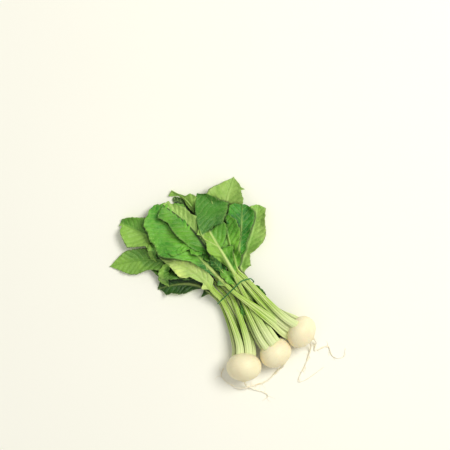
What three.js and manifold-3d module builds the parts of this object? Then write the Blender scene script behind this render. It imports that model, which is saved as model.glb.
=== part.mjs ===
// A bunch of three flat white turnips, tied round the stalks with a thin elastic and laid on a table.
// Millimetres, +Z up, table at z = 0. The plan is set out round the tie: x to the right and y up, as seen
// from above. The last lines turn the whole bunch along X, roots towards +X, and centre it.

import * as THREE from 'three';
import { mergeVertices } from 'three/addons/utils/BufferGeometryUtils.js';
import Module from 'manifold-3d';

const wasm = await Module();
wasm.setup();

// Driving dimensions
const gap = 0.3; // clear space between pieces that touch
const lean = 51.6; // degrees that turn the bunch from the plan onto the X axis
const crownDrop = 12; // degrees that a bulb's crown hangs below its root end
const flatDepth = 0.5; // how deep each bulb is flattened where it rests
const stalkBase = [12, 7]; // width and height of a stalk at the crown
const stalkNeck = [6.2, 4.8]; // and at the tie and beyond it
const ribEnd = [1.6, 1.7]; // midrib at the tip of the blade
const bladeThick = 1.2; // measured upright, so a steep blade is still 0.7 thick
const tie = { radius: 0.9, angle: 44, slack: 0.9, strip: 2.4, reach: 34 }; // leaves keep off its strip
const tailBase = 1.7; // radius of a tap root where it leaves the bulb
const tailEnd = 0.45;
const bulbForm = {
  fullness: 0.92, // below 1 the sides are fuller than an ellipse
  hollow: { deep: 1.6, wide: 9 }, // round the crown
  cone: { tall: 1.8, wide: 4 }, // where the tap root starts
  swell: [0.018, 0.012], // how far two and three broad swellings make it unround
  steps: 14,
  sides: 24,
};

// Each bulb: middle in plan, direction of its root end, width across and length along its own axis
const bulbs = {
  left: { middle: [13, -109.5], heading: -90, width: 50, length: 40 },
  middle: { middle: [58, -90], heading: -55, width: 46, length: 39 },
  right: { middle: [95, -60], heading: -30, width: 48, length: 37 },
};

// Tap roots, from the bulb to the tip. A third number lifts the root over what it crosses.
const tails = [
  {
    bulb: 'left',
    route: [[14, -126], [15, -134], [19, -139], [34, -145], [45, -149], [48, -153], [41, -159]],
  },
  {
    bulb: 'middle',
    route: [[67, -103], [69, -108], [64, -114], [47, -131], [36, -135], [27, -137, 3], [15, -141, 6],
      [5, -141, 3], [-5, -137], [-15, -130]],
  },
  {
    bulb: 'right',
    route: [[104, -66], [112, -69], [117, -77], [115, -87], [122, -85], [134, -82], [140, -94], [149, -99],
      [157, -95], [159, -85]],
  },
  {
    bulb: 'right',
    route: [[103, -69], [108, -76], [109, -85], [105, -100], [92, -132], [106, -127], [128, -111]],
  },
];

// Leaves in the order in which their stalks lie on each other from the crown to the tie. slot is a stalk's
// place across the crown and crown the height of its underside there; across is its place under the tie and
// row its layer there. beyond is the way from the tie to the tip in the plan, neck counting its points up to
// the start of the blade. layer is the order in which the leaves lie on each other beyond the tie. half is
// the blade's half width, and sides scales its left and right halves. arch lifts its middle, cup and wave its
// margins.
const leaves = [
  { name: 'leaf_left_1', bulb: 'left', slot: -12, crown: 11, across: -28, row: 0, layer: 2,
    neck: 1, half: 23, sides: [1, 0.8], arch: 3, cup: 3, wave: 3, seed: 1, outline: 'broad',
    beyond: [[-33, -6], [-48, 4], [-68, 8], [-90, 6], [-110, 1]] },
  { name: 'leaf_left_3', bulb: 'left', slot: -0.5, crown: 11, across: -21.5, row: 0, layer: 4,
    neck: 3, half: 18, sides: [1, 0.9], arch: 4, cup: -2, wave: 2.5, seed: 3,
    beyond: [[-28, -2], [-41, 15], [-60, 31], [-88, 40], [-122, 43], [-153, 40], [-179, 33]] },
  { name: 'leaf_left_5', bulb: 'left', slot: 11, crown: 11, across: -15, row: 0, layer: 3,
    neck: 2, half: 19, sides: [1, 1], arch: 3, cup: 2, wave: 4, seed: 5, outline: 'broad',
    beyond: [[-23, 3], [-37, 19], [-55, 27], [-78, 33], [-101, 36], [-124, 37]] },
  { name: 'leaf_middle_1', bulb: 'middle', slot: -10.5, crown: 10, across: -2, row: 0, layer: 7,
    neck: 2, half: 20, sides: [1, 1], arch: 5, cup: 4, wave: 4, seed: 6,
    beyond: [[-12, 13], [-27, 38], [-41, 64], [-58, 94], [-76, 120], [-96, 140]] },
  { name: 'leaf_middle_4', bulb: 'middle', slot: 0, crown: 10, across: 4.5, row: 0, layer: 8,
    neck: 3, half: 24, sides: [1, 1], arch: 5, cup: 4, wave: 4, seed: 9,
    beyond: [[-6, 19], [-9, 44], [-11, 70], [-13, 98], [-11, 128], [-1, 162]] },
  { name: 'leaf_middle_5', bulb: 'middle', slot: 10.5, crown: 10, across: 11, row: 0, layer: 10,
    neck: 2, half: 21, sides: [1, 1], arch: 6, cup: -3, wave: 4, seed: 10,
    beyond: [[-1, 24], [4, 45], [7, 68], [10, 94], [11, 122]] },
  { name: 'leaf_right_4', bulb: 'right', slot: 11, crown: 10, across: 23, row: 0, layer: 9,
    neck: 1, half: 19, sides: [1, 1], arch: 5, cup: 3, wave: 3, seed: 14,
    beyond: [[8, 32], [15, 52], [23, 75], [29, 98], [33, 122]] },
  { name: 'leaf_left_4', bulb: 'left', slot: 6, crown: 16, across: -8.5, row: 0, layer: 5,
    neck: 3, half: 24, sides: [1, 1], arch: 5, cup: 4, wave: 3, seed: 4,
    beyond: [[-18, 7], [-34, 28], [-57, 46], [-87, 62], [-122, 77], [-164, 96]] },
  { name: 'leaf_left_2', bulb: 'left', slot: -6, crown: 16, across: -24.5, row: 1, layer: 6,
    neck: 2, half: 20, sides: [1, 1], arch: 4, cup: 3, wave: 3, seed: 2, outline: 'broad',
    beyond: [[-30, -4], [-42, 11], [-59, 26], [-83, 39], [-113, 54]] },
  { name: 'leaf_middle_2', bulb: 'middle', slot: -5, crown: 15, across: 3, row: 1, layer: 13,
    neck: 2, half: 21, sides: [0.95, 1.1], arch: 5, cup: 4, wave: 3.5, seed: 7,
    beyond: [[-10, 16], [-27, 38], [-42, 57], [-60, 79], [-84, 102], [-112, 126]] },
  { name: 'leaf_middle_3', bulb: 'middle', slot: 5, crown: 15, across: 9.5, row: 1, layer: 15,
    neck: 4, half: 41, sides: [0.2, 1], arch: 4, cup: -2, wave: 4, seed: 8, outline: 'broad',
    beyond: [[-5, 20], [-20, 39], [-35, 54], [-47, 71], [-51, 92], [-53, 114], [-54, 140]] },
  { name: 'leaf_right_1', bulb: 'right', slot: -11, crown: 10, across: -3.5, row: 1, layer: 12,
    neck: 1, half: 33, sides: [1, 0.9], arch: 6, cup: -3, wave: 4, seed: 11,
    beyond: [[-15, 10], [-34, 29], [-56, 52], [-84, 80], [-119, 117]] },
  { name: 'leaf_right_2', bulb: 'right', slot: 0, crown: 10, across: 16, row: 1, layer: 14,
    neck: 1, half: 22, sides: [0.9, 1], arch: 5, cup: 3, wave: 3, seed: 12,
    beyond: [[-1, 24], [-12, 43], [-22, 60], [-32, 77], [-43, 97]] },
  { name: 'leaf_right_3', bulb: 'right', slot: 5.5, crown: 15, across: 22.5, row: 1, layer: 11,
    neck: 1, half: 18, sides: [1, 1], arch: 5, cup: 3, wave: 3.5, seed: 13,
    beyond: [[3, 28], [-1, 45], [-7, 63], [-11, 83], [-14, 107]] },
];

// Share of the half width along a blade: most have small lobes on the stalk and a broad round end, some are
// broad from their base
const outlines = {
  lobed: [[0, 0.2], [0.08, 0.42], [0.3, 0.5], [0.45, 0.8], [0.66, 1], [0.85, 0.86], [0.95, 0.5], [1, 0.1]],
  broad: [[0, 0.2], [0.12, 0.66], [0.35, 1], [0.7, 0.95], [0.9, 0.62], [1, 0.1]],
};

const stalkStations = 8; // from the crown to the tie
const petioleStep = 13; // between stations from the tie to the blade
const bladeStations = 14;
const acrossPoints = 6; // points across the top of a leaf section; the underside has as many
const fullTurn = 2 * Math.PI;

// Small helpers
const radians = THREE.MathUtils.degToRad;
const mix = THREE.MathUtils.lerp;
const smooth = THREE.MathUtils.smoothstep;

const tieAcross = new THREE.Vector2(Math.cos(radians(tie.angle)), Math.sin(radians(tie.angle)));
const tieAlong = new THREE.Vector2(tieAcross.y, -tieAcross.x);
const tieFloor = 2 * tie.radius + gap + 0.2; // the lowest stalks lie on the tie
const rowHeights = [tieFloor, tieFloor + stalkNeck[1]];

// Mulberry32, a small seeded source of even numbers from 0 to 1
function randomFrom(seed) {
  let state = seed * 2654435761;
  return () => {
    state = (state + 0x6d2b79f5) | 0;
    let t = Math.imul(state ^ (state >>> 15), 1 | state);
    t = (t + Math.imul(t ^ (t >>> 7), 61 | t)) ^ t;
    return ((t ^ (t >>> 14)) >>> 0) / 4294967296;
  };
}

// The value of a table of [place, value] pairs at t, with smooth steps between them
function along(table, t) {
  const next = Math.max(1, table.findIndex(([at]) => at >= t));
  const [[t0, v0], [t1, v1]] = [table[next - 1], table[next]];
  return mix(v0, v1, smooth(t, t0, t1));
}

// A closed solid through rings of points that all run clockwise, seen along the path. The first half of each
// ring is its top. Top and underside are split along the same diagonal, so a thin blade keeps its thickness.
function loft(rings) {
  const count = rings[0].length;
  const index = [];
  for (let i = 0; i + 1 < rings.length; i++) {
    for (let k = 0; k < count; k++) {
      const next = (k + 1) % count;
      const [a, b, c, d] = [i * count + k, i * count + next, (i + 1) * count + k, (i + 1) * count + next];
      if (k < count / 2) index.push(a, b, d, a, d, c);
      else index.push(a, b, c, b, d, c);
    }
  }
  const last = (rings.length - 1) * count;
  for (let k = 0; k + 1 < count / 2; k++) {
    const [top, nextTop, low, nextLow] = [k, k + 1, count - 1 - k, count - 2 - k];
    index.push(top, low, nextTop, nextTop, low, nextLow);
    index.push(last + top, last + nextTop, last + low, last + nextTop, last + nextLow, last + low);
  }
  const geometry = new THREE.BufferGeometry();
  const coordinates = rings.flat().flatMap((point) => point.toArray());
  geometry.setAttribute('position', new THREE.Float32BufferAttribute(coordinates, 3));
  geometry.setIndex(index);
  return geometry;
}

// Booleans
function solidOf(geometry) {
  const bare = geometry.clone();
  bare.deleteAttribute('normal');
  bare.deleteAttribute('uv');
  const merged = mergeVertices(bare, 1e-4);
  return new wasm.Manifold(new wasm.Mesh({
    numProp: 3,
    vertProperties: new Float32Array(merged.attributes.position.array),
    triVerts: new Uint32Array(merged.index.array),
  }));
}

function geometryOf(solid) {
  const mesh = solid.getMesh();
  const geometry = new THREE.BufferGeometry();
  geometry.setAttribute('position', new THREE.Float32BufferAttribute(mesh.vertProperties, 3));
  geometry.setIndex(Array.from(mesh.triVerts));
  geometry.computeVertexNormals();
  return geometry;
}

// The bulb, a flattened ball with a slight hollow at the crown and a short cone at the root
function bulbGeometry(bulb, grow) {
  const { fullness, hollow, cone, steps, sides } = bulbForm;
  const profile = [];
  for (let i = 0; i <= steps; i++) {
    const angle = (Math.PI * i) / steps;
    const radius = (bulb.width / 2) * Math.sin(angle) ** fullness;
    const isCrownHalf = angle < Math.PI / 2;
    const { deep, tall, wide } = isCrownHalf ? hollow : cone;
    const dip = (isCrownHalf ? deep : tall) * Math.exp(-((radius / wide) ** 2));
    const height = (bulb.length / 2) * Math.cos(angle) - dip;
    profile.push(new THREE.Vector2(i % steps === 0 ? 0 : radius + grow, height + grow * Math.cos(angle)));
  }
  const geometry = new THREE.LatheGeometry(profile.reverse(), sides);
  const position = geometry.attributes.position;
  for (let i = 0; i < position.count; i++) {
    const turn = Math.atan2(position.getZ(i), position.getX(i));
    const [two, three] = bulbForm.swell;
    const swell = 1 + two * Math.sin(2 * turn + bulb.width) + three * Math.sin(3 * turn + bulb.length);
    position.setX(i, position.getX(i) * swell);
    position.setZ(i, position.getZ(i) * swell);
  }
  const heading = radians(bulb.heading);
  const drop = radians(crownDrop);
  const crown = new THREE.Vector3(-Math.cos(heading) * Math.cos(drop), -Math.sin(heading) * Math.cos(drop),
    -Math.sin(drop));
  geometry.applyQuaternion(new THREE.Quaternion().setFromUnitVectors(new THREE.Vector3(0, 1, 0), crown));
  return geometry;
}

function restHeight(bulb) {
  const geometry = bulbGeometry(bulb, 0);
  geometry.computeBoundingBox();
  return -geometry.boundingBox.min.z - flatDepth;
}

function placedBulb(bulb, grow) {
  return bulbGeometry(bulb, grow).translate(...bulb.middle, restHeight(bulb));
}

// A tap root: it leaves the root end high up, drops to the table and lies on it, ever thinner
function tailGeometry(tail) {
  const bulb = bulbs[tail.bulb];
  const [steps, sides, clear] = [30, 6, 0.1];
  const inBulb = 0.8; // share of the way from the bulb's middle to its root end
  const leave = restHeight(bulb) + Math.sin(radians(crownDrop)) * (bulb.length / 2) * inBulb;
  const points = tail.route.map(([x, y, over = 0], i) => {
    const fall = Math.exp(-((i / 1.5) ** 2)); // down on the table within three points
    const rest = mix(tailBase, tailEnd, i / tail.route.length) + clear;
    return new THREE.Vector3(x, y, Math.max(rest, leave * fall) + over);
  });
  const curve = new THREE.CatmullRomCurve3(points, false, 'centripetal');
  const frames = curve.computeFrenetFrames(steps, false);
  const rings = [];
  for (let i = 0; i <= steps; i++) {
    const centre = curve.getPointAt(i / steps);
    const radius = mix(tailBase, tailEnd, (i / steps) ** 0.6); // thins fastest near the bulb
    centre.z = Math.max(centre.z, radius + clear);
    const ring = [];
    for (let k = 0; k < sides; k++) {
      const angle = (fullTurn * k) / sides;
      ring.push(centre.clone()
        .addScaledVector(frames.normals[i], radius * Math.cos(angle))
        .addScaledVector(frames.binormals[i], radius * Math.sin(angle)));
    }
    rings.push(ring);
  }
  return loft(rings);
}

// The heights already taken, on a square grid over the table
class Ground {
  constructor(cell, size) {
    this.cell = cell;
    this.side = Math.ceil(size / cell);
    this.half = size / 2;
    this.heights = new Float64Array(this.side * this.side);
  }

  column(value) {
    return THREE.MathUtils.clamp(Math.floor((value + this.half) / this.cell), 0, this.side - 1);
  }

  cover(x, y, z) {
    const at = this.column(x) + this.side * this.column(y);
    this.heights[at] = Math.max(this.heights[at], z);
  }

  under(x, y) {
    const reach = this.cell / 2;
    let highest = 0;
    for (const dx of [-reach, reach]) {
      for (const dy of [-reach, reach]) {
        highest = Math.max(highest, this.heights[this.column(x + dx) + this.side * this.column(y + dy)]);
      }
    }
    return highest;
  }
}

// The line of a leaf's stalk and midrib in the plan, from inside the bulb over the tie to the tip
function routeOf(leaf) {
  const bulb = bulbs[leaf.bulb];
  const [inBulb, outOfBulb] = [3, 30]; // along the bulb's axis from its middle: a stalk starts off straight
  const outOfCrown = new THREE.Vector2(-Math.cos(radians(bulb.heading)), -Math.sin(radians(bulb.heading)));
  const sideways = new THREE.Vector2(outOfCrown.y, -outOfCrown.x);
  const fromBulb = (out) => new THREE.Vector2(...bulb.middle)
    .addScaledVector(outOfCrown, out)
    .addScaledVector(sideways, leaf.slot);
  const plan = [fromBulb(inBulb), fromBulb(outOfBulb), tieAcross.clone().multiplyScalar(leaf.across)]
    .concat(leaf.beyond.map(([x, y]) => new THREE.Vector2(x, y)));
  return plan.map(({ x, y }) => new THREE.Vector3(x, y, 0));
}

// How far the margin stands up beside the rib: a slow wave with a finer crinkle on it, 0 at its lowest
function waveAt(blade, ripple, phase) {
  return Math.sin(blade * fullTurn * ripple + phase) + 0.4 * Math.sin(blade * 17 + 2 * phase) + 1;
}

// Plan, thickness and free shape of a leaf. Stations run from the crown to the tip, points across them from
// left to right.
function shapeLeaf(leaf) {
  const random = randomFrom(leaf.seed);
  const plan = routeOf(leaf);
  const tiePoint = 2;
  const curve = new THREE.CatmullRomCurve3(plan, false, 'centripetal');
  const lengths = curve.getLengths(600);
  const total = lengths[lengths.length - 1];
  const shareOf = (point) => lengths[Math.round(((lengths.length - 1) * point) / (plan.length - 1))] / total;
  const [tieShare, neckShare] = [shareOf(tiePoint), shareOf(tiePoint + leaf.neck)];
  const petioles = Math.max(1, Math.round(((neckShare - tieShare) * total) / petioleStep));
  const neckStation = stalkStations + petioles;
  const phases = [random() * fullTurn, random() * fullTurn]; // of the left and right margin
  const ripple = 1.6 + random(); // waves along the blade
  const stations = [];
  for (let i = 0; i <= neckStation + bladeStations; i++) {
    const isBlade = i > neckStation;
    const blade = Math.max(0, (i - neckStation) / bladeStations);
    let share = mix(neckShare, 1, blade);
    if (i <= neckStation) share = mix(tieShare, neckShare, (i - stalkStations) / petioles);
    if (i <= stalkStations) share = (tieShare * i) / stalkStations;
    const centre = curve.getPointAt(share);
    const tangent = curve.getTangentAt(share);
    const toRight = i === stalkStations ? tieAcross : new THREE.Vector2(tangent.y, -tangent.x);
    const toTie = smooth(share, 0, tieShare);
    const pastTie = (share - tieShare) / (1 - tieShare);
    const size = [0, 1].map((k) => (isBlade
      ? mix(stalkNeck[k] * 0.8, ribEnd[k], Math.sqrt(blade))
      : mix(stalkBase[k], stalkNeck[k], toTie)));
    const bend = pastTie > 0
      ? mix(rowHeights[leaf.row], 0.3, smooth(pastTie, 0, 0.5)) + leaf.arch * Math.sin(Math.PI * pastTie)
      : mix(leaf.crown, rowHeights[leaf.row], toTie);
    const points = [];
    for (let j = 0; j < acrossPoints; j++) {
      const side = j < acrossPoints / 2 ? 0 : 1;
      const outward = side ? 1 : -1;
      const angle = (Math.PI * (j + 0.5)) / acrossPoints;
      let [across, forward] = [(-size[0] / 2) * Math.cos(angle), 0];
      let [under, thick] = [bend, size[1] * Math.sin(angle)];
      if (isBlade) {
        const out = Math.abs(j - 2.5) - 0.5; // 0 at the rib, 1 halfway, 2 at the margin
        const isMargin = out === 2;
        const isTip = i % 2 === 1; // of a tooth; the stations between are its notches
        const tooth = (isTip ? 1 : -1) * mix(0.15, 0.08, blade) + (random() - 0.5) * 0.1;
        const width = leaf.half * leaf.sides[side] * along(outlines[leaf.outline ?? 'lobed'], blade);
        const half = width * (isMargin ? 1 + tooth : 1);
        const edge = (out / 2) ** 1.5 * Math.min(1, half / 12); // a narrow stretch stays flat
        across = outward * mix(size[0] / 2, Math.max(half, size[0] * 0.8), out / 2);
        if (isMargin) forward = (isTip ? 0.1 : -0.05) * half; // teeth lean to the tip
        under += edge * (leaf.cup + leaf.wave * waveAt(blade, ripple, phases[side]));
        thick = out === 0 ? Math.max(size[1], bladeThick) : bladeThick;
      } else {
        under += (size[1] / 2) * (1 - Math.sin(angle));
      }
      points.push({
        x: centre.x + toRight.x * across + tangent.x * forward,
        y: centre.y + toRight.y * across + tangent.y * forward,
        under: Math.max(0.2, under),
        thick,
        lift: 0,
      });
    }
    stations.push({ isBlade, points });
  }
  return stations;
}

// Walks the underside between two stations on its own triangles, and hands over each spot with the weights of
// its corners
function eachSpot(near, far, fine, visit) {
  for (let j = 0; j + 1 < acrossPoints; j++) {
    const corners = [near.points[j], far.points[j], near.points[j + 1], far.points[j + 1]];
    for (let u = 0; u <= fine; u++) {
      for (let v = 0; v <= fine; v++) {
        const [s, t] = [u / fine, v / fine];
        const weights = t <= s ? [1 - s, s - t, 0, t] : [1 - t, 0, t - s, s];
        let [x, y, under, top] = [0, 0, 0, 0];
        corners.forEach((corner, c) => {
          x += weights[c] * corner.x;
          y += weights[c] * corner.y;
          under += weights[c] * (corner.under + corner.lift);
          top += weights[c] * (corner.under + corner.lift + corner.thick);
        });
        visit(x, y, under, top, corners, weights, j);
      }
    }
  }
}

// Lets the stations first..last of a leaf down on what lies there: the lifts spread like a soft sheet, and
// every spot that would sink in pushes its corners up. A stalk's section rises as one.
function settle(stations, first, last, ground) {
  const [spreading, pushing] = [120, 80]; // rounds that spread and push, and rounds that only push
  const [speed, ease] = [0.7, 0.985]; // how fast lifts spread, and what is left of them each round
  for (let round = 0; round < spreading + pushing; round++) {
    if (round < spreading) {
      const old = stations.map((station) => station.points.map((point) => point.lift));
      for (let i = first; i <= last; i++) {
        const before = i ? old[i - 1] : new Array(acrossPoints).fill(0); // the crown holds a stalk down
        const after = old[Math.min(i + 1, last)];
        stations[i].points.forEach((point, j) => {
          const left = old[i][Math.max(j - 1, 0)];
          const right = old[i][Math.min(j + 1, acrossPoints - 1)];
          const spread = stations[i].isBlade
            ? (before[j] + after[j] + left + right) / 4
            : (before[2] + after[2]) / 2;
          point.lift = mix(old[i][j], spread, speed) * ease;
        });
      }
    }
    for (let i = Math.max(first, 1); i <= last; i++) {
      const [near, far] = [stations[i - 1], stations[i]];
      eachSpot(near, far, 8, (x, y, under, top, corners, weights) => {
        const need = ground.under(x, y) + gap - under;
        if (need <= 0) return;
        const isNearFree = i - 1 >= first;
        const shares = weights.map((weight, c) => (c % 2 || isNearFree ? weight : 0));
        const power = shares.reduce((sum, share) => sum + share * share, 0);
        if (shares[0] + shares[1] + shares[2] + shares[3] < 0.5) return; // the fixed station carries it
        shares.forEach((share, c) => {
          const rise = Math.min(need, (need * share) / power);
          if (!share) return;
          if (c % 2 ? far.isBlade : near.isBlade) corners[c].lift += rise;
          else (c % 2 ? far : near).points.forEach((point) => { point.lift += rise; });
        });
      });
    }
  }
}

// Marks the heights that the stations first..last take up, for what is laid later
function cover(stations, first, last, ground) {
  for (let i = Math.max(first, 1); i <= last; i++) {
    eachSpot(stations[i - 1], stations[i], 20, (x, y, under, top) => ground.cover(x, y, top));
  }
}

function leafGeometry(stations) {
  return loft(stations.map(({ points }) => {
    const low = points.map(({ x, y, under, lift }) => new THREE.Vector3(x, y, under + lift));
    const top = points.map(({ x, y, under, lift, thick }) => new THREE.Vector3(x, y, under + lift + thick));
    return [...top, ...low.reverse()];
  }));
}

// Keeps the leaves off the tie's lower side, where it lies on the table
function coverTieStrip(ground) {
  for (let across = -tie.reach; across <= tie.reach; across += ground.cell / 2) {
    for (let off = -tie.strip; off <= tie.strip; off += ground.cell / 2) {
      const spot = tieAcross.clone().multiplyScalar(across).addScaledVector(tieAlong, off);
      ground.cover(spot.x, spot.y, 2 * tie.radius + gap);
    }
  }
}

// Spots of all the leaves where the tie crosses them, as place across the bunch and height
function tieSection(shaped) {
  const found = [];
  for (const stations of shaped) {
    for (let i = 1; i < stations.length; i++) {
      eachSpot(stations[i - 1], stations[i], 8, (x, y, under, top) => {
        const off = x * tieAlong.x + y * tieAlong.y;
        if (Math.abs(off) > tie.radius + gap) return;
        const across = x * tieAcross.x + y * tieAcross.y;
        found.push(new THREE.Vector2(across, under), new THREE.Vector2(across, top));
      });
    }
  }
  return found;
}

// The convex outline of points in a plane, by Andrew's monotone chain
function hull(points) {
  const sorted = [...points].sort((a, b) => a.x - b.x || a.y - b.y);
  const half = (list) => {
    const kept = [];
    for (const point of list) {
      while (kept.length > 1) {
        const [a, b] = kept.slice(-2);
        if ((b.x - a.x) * (point.y - a.y) - (b.y - a.y) * (point.x - a.x) > 0) break;
        kept.pop();
      }
      kept.push(point);
    }
    return kept.slice(0, -1);
  };
  return [...half(sorted), ...half(sorted.reverse())];
}

// The tie: the tightest loop round all the stalks where it crosses them, with rounded corners
function tieGeometry(shaped) {
  const corners = hull(tieSection(shaped));
  const away = tie.radius + gap + tie.slack;
  const [turnSteps, loopSteps, sides] = [24, 60, 6];
  const rounded = [];
  corners.forEach((corner) => {
    for (let k = 0; k < turnSteps; k++) {
      const angle = (fullTurn * k) / turnSteps;
      rounded.push(new THREE.Vector2(corner.x + away * Math.cos(angle), corner.y + away * Math.sin(angle)));
    }
  });
  const loop = hull(rounded).map(({ x, y }) => new THREE.Vector3(tieAcross.x * x, tieAcross.y * x,
    Math.max(y, tie.radius + 0.05)));
  const path = new THREE.CurvePath();
  loop.forEach((point, i) => path.add(new THREE.LineCurve3(point, loop[(i + 1) % loop.length])));
  const even = path.getSpacedPoints(loopSteps).slice(0, -1);
  return new THREE.TubeGeometry(new THREE.CatmullRomCurve3(even, true), loopSteps, tie.radius, sides, true);
}

// The build
const rootMaterial = { color: 0xf3ecd0, roughness: 0.38, metalness: 0 };
const leafGreens = [0x5f9a35, 0x4a8a2c, 0x74a843, 0x8fb957];
const tieMaterial = { color: 0x1f6a35, roughness: 0.55, metalness: 0 };

const bunch = new THREE.Group();

function addPiece(name, geometry, material) {
  const mesh = new THREE.Mesh(geometry, new THREE.MeshStandardMaterial(material));
  mesh.name = name;
  bunch.add(mesh);
}

const [tableSide, tableDepth] = [600, 100];
const tableBox = new THREE.BoxGeometry(tableSide, tableSide, tableDepth).translate(0, 0, -tableDepth / 2);
const table = solidOf(tableBox);
for (const [side, bulb] of Object.entries(bulbs)) {
  const roots = tails.filter((tail) => tail.bulb === side).map((tail) => solidOf(tailGeometry(tail)));
  const whole = roots.reduce((solid, root) => solid.add(root), solidOf(placedBulb(bulb, 0)));
  addPiece(`turnip_${side}`, geometryOf(whole.subtract(table)), rootMaterial);
}

const shaped = new Map(leaves.map((leaf) => [leaf.name, shapeLeaf(leaf)]));

// The stalks are laid from the crowns to the tie first, then the leaves beyond the tie
function layAll(order, first, lastOf) {
  const ground = new Ground(0.8, 420);
  coverTieStrip(ground);
  for (const leaf of order) {
    const stations = shaped.get(leaf.name);
    settle(stations, first, lastOf(stations), ground);
    cover(stations, first, lastOf(stations), ground);
  }
}
layAll(leaves, 0, () => stalkStations);
layAll([...leaves].sort((a, b) => a.layer - b.layer), stalkStations + 1, (stations) => stations.length - 1);

leaves.forEach((leaf, i) => {
  const grownBulb = solidOf(placedBulb(bulbs[leaf.bulb], gap));
  const trimmed = solidOf(leafGeometry(shaped.get(leaf.name))).subtract(grownBulb);
  const color = leafGreens[i % leafGreens.length];
  addPiece(leaf.name, geometryOf(trimmed), { color, roughness: 0.5, metalness: 0 });
});
addPiece('tie', tieGeometry([...shaped.values()]), tieMaterial);

bunch.rotation.z = radians(lean);
bunch.updateMatrixWorld(true);
const extent = new THREE.Box3().setFromObject(bunch, true);
const middle = extent.getCenter(new THREE.Vector3());
bunch.position.set(-middle.x, -middle.y, -extent.min.z);

export default bunch;
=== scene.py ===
import math
import random
from types import SimpleNamespace
import bmesh
import bpy
import numpy as np
from mathutils import Matrix, Vector
from mathutils.bvhtree import BVHTree


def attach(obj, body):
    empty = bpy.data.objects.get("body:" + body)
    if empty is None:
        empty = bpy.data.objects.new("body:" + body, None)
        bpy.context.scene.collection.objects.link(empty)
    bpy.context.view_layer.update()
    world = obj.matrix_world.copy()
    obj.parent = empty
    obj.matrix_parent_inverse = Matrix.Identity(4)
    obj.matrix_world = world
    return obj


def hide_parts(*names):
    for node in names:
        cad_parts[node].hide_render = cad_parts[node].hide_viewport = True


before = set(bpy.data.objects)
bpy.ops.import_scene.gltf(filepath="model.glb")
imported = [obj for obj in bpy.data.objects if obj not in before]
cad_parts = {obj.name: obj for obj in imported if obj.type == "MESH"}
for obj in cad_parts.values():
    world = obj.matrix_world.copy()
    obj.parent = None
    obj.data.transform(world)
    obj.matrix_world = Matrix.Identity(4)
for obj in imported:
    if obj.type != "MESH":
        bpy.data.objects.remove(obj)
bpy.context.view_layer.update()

# The bunch is set out in a plan round the tie, in millimetres: x to the right and y up, seen from above.
# The frame is that plan turned and shifted.
mm = 0.001
lean = math.radians(51.6)
planOrigin = (2.671, 8.029)  # where the middle of the tie lies in the frame
photo = {"side": 450, "mmPerPixel": 1.43, "tieAt": (235, 290)}  # the pixel over the middle of the tie
pathSteps = 32  # samples between two points of a leaf's way


def inFrame(plan):  # plan points in millimetres to frame x and y in metres
    plan = np.asarray(plan, float)
    x = plan[..., 0] * math.cos(lean) - plan[..., 1] * math.sin(lean) + planOrigin[0]
    y = plan[..., 0] * math.sin(lean) + plan[..., 1] * math.cos(lean) + planOrigin[1]
    return np.stack([x, y], -1) * mm


def inPlan(xy):  # and back
    x, y = np.asarray(xy)[..., 0] / mm - planOrigin[0], np.asarray(xy)[..., 1] / mm - planOrigin[1]
    return np.stack([x * math.cos(lean) + y * math.sin(lean), y * math.cos(lean) - x * math.sin(lean)], -1)


def smoothStep(x, low, high):
    t = np.clip((np.asarray(x, float) - low) / (high - low), 0, 1)
    return t * t * (3 - 2 * t)


def mix(a, b, t):
    return a + (b - a) * t


def ripple(x, seed, turns=(1.0, 2.3, 4.1)):  # a smooth seeded wave between about -1 and 1
    phases = np.random.default_rng(seed).uniform(0, 2 * math.pi, len(turns))
    waves = []
    for k, (turn, phase) in enumerate(zip(turns, phases)):
        waves.append(np.sin(np.asarray(x) * turn + phase) / (1 + 0.5 * k))
    return sum(waves) / 1.8


def smoothPath(points, perSpan=pathSteps):
    # a centripetal curve through points, sampled evenly between each two
    points = np.array(points, float)
    points = np.vstack([2 * points[0] - points[1], points, 2 * points[-1] - points[-2]])
    samples = []
    for a, b, c, d in zip(points, points[1:], points[2:], points[3:]):
        ab, bc, cd = (math.sqrt(np.linalg.norm(q - p)) for p, q in ((a, b), (b, c), (c, d)))
        start = ((b - a) / ab - (c - a) / (ab + bc) + (c - b) / bc) * bc
        end = ((c - b) / bc - (d - b) / (bc + cd) + (d - c) / cd) * bc
        t = np.linspace(0, 1, perSpan, endpoint=False)[:, None]
        square, cube = 3 * (c - b) - 2 * start - end, 2 * (b - c) + start + end
        samples.append(b + start * t + square * t**2 + cube * t**3)
    return np.vstack([*samples, points[-2]])


def lengthsOf(path):
    return np.concatenate([[0], np.cumsum(np.linalg.norm(np.diff(path, axis=0), axis=1))])


def pointsAt(path, lengths, at):
    return np.stack([np.interp(at, lengths, line) for line in path.T], 1)


def unitRows(vectors):
    return vectors / np.linalg.norm(vectors, axis=1)[:, None]


def rightOf(tangent):
    return np.stack([tangent[:, 1], -tangent[:, 0]], 1)


def blur(values, sigma, axis):
    reach = max(1, int(3 * sigma))
    kernel = np.exp(-0.5 * (np.arange(-reach, reach + 1) / sigma) ** 2)
    pad = [(0, 0)] * values.ndim
    pad[axis] = (reach, reach)
    padded = np.pad(values, pad, mode="edge")
    return np.apply_along_axis(lambda line: np.convolve(line, kernel / kernel.sum(), "valid"), axis, padded)


def soften(values, along, across):
    return blur(blur(values, along, 0), across, 1)


def newPiece(name, bm, material, smooth=True):
    mesh = bpy.data.meshes.new(name)
    bm.to_mesh(mesh)
    bm.free()
    piece = bpy.data.objects.new(name, mesh)
    bpy.context.scene.collection.objects.link(piece)
    mesh.materials.append(material)
    if smooth:
        mesh.shade_smooth()
    return piece


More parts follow.
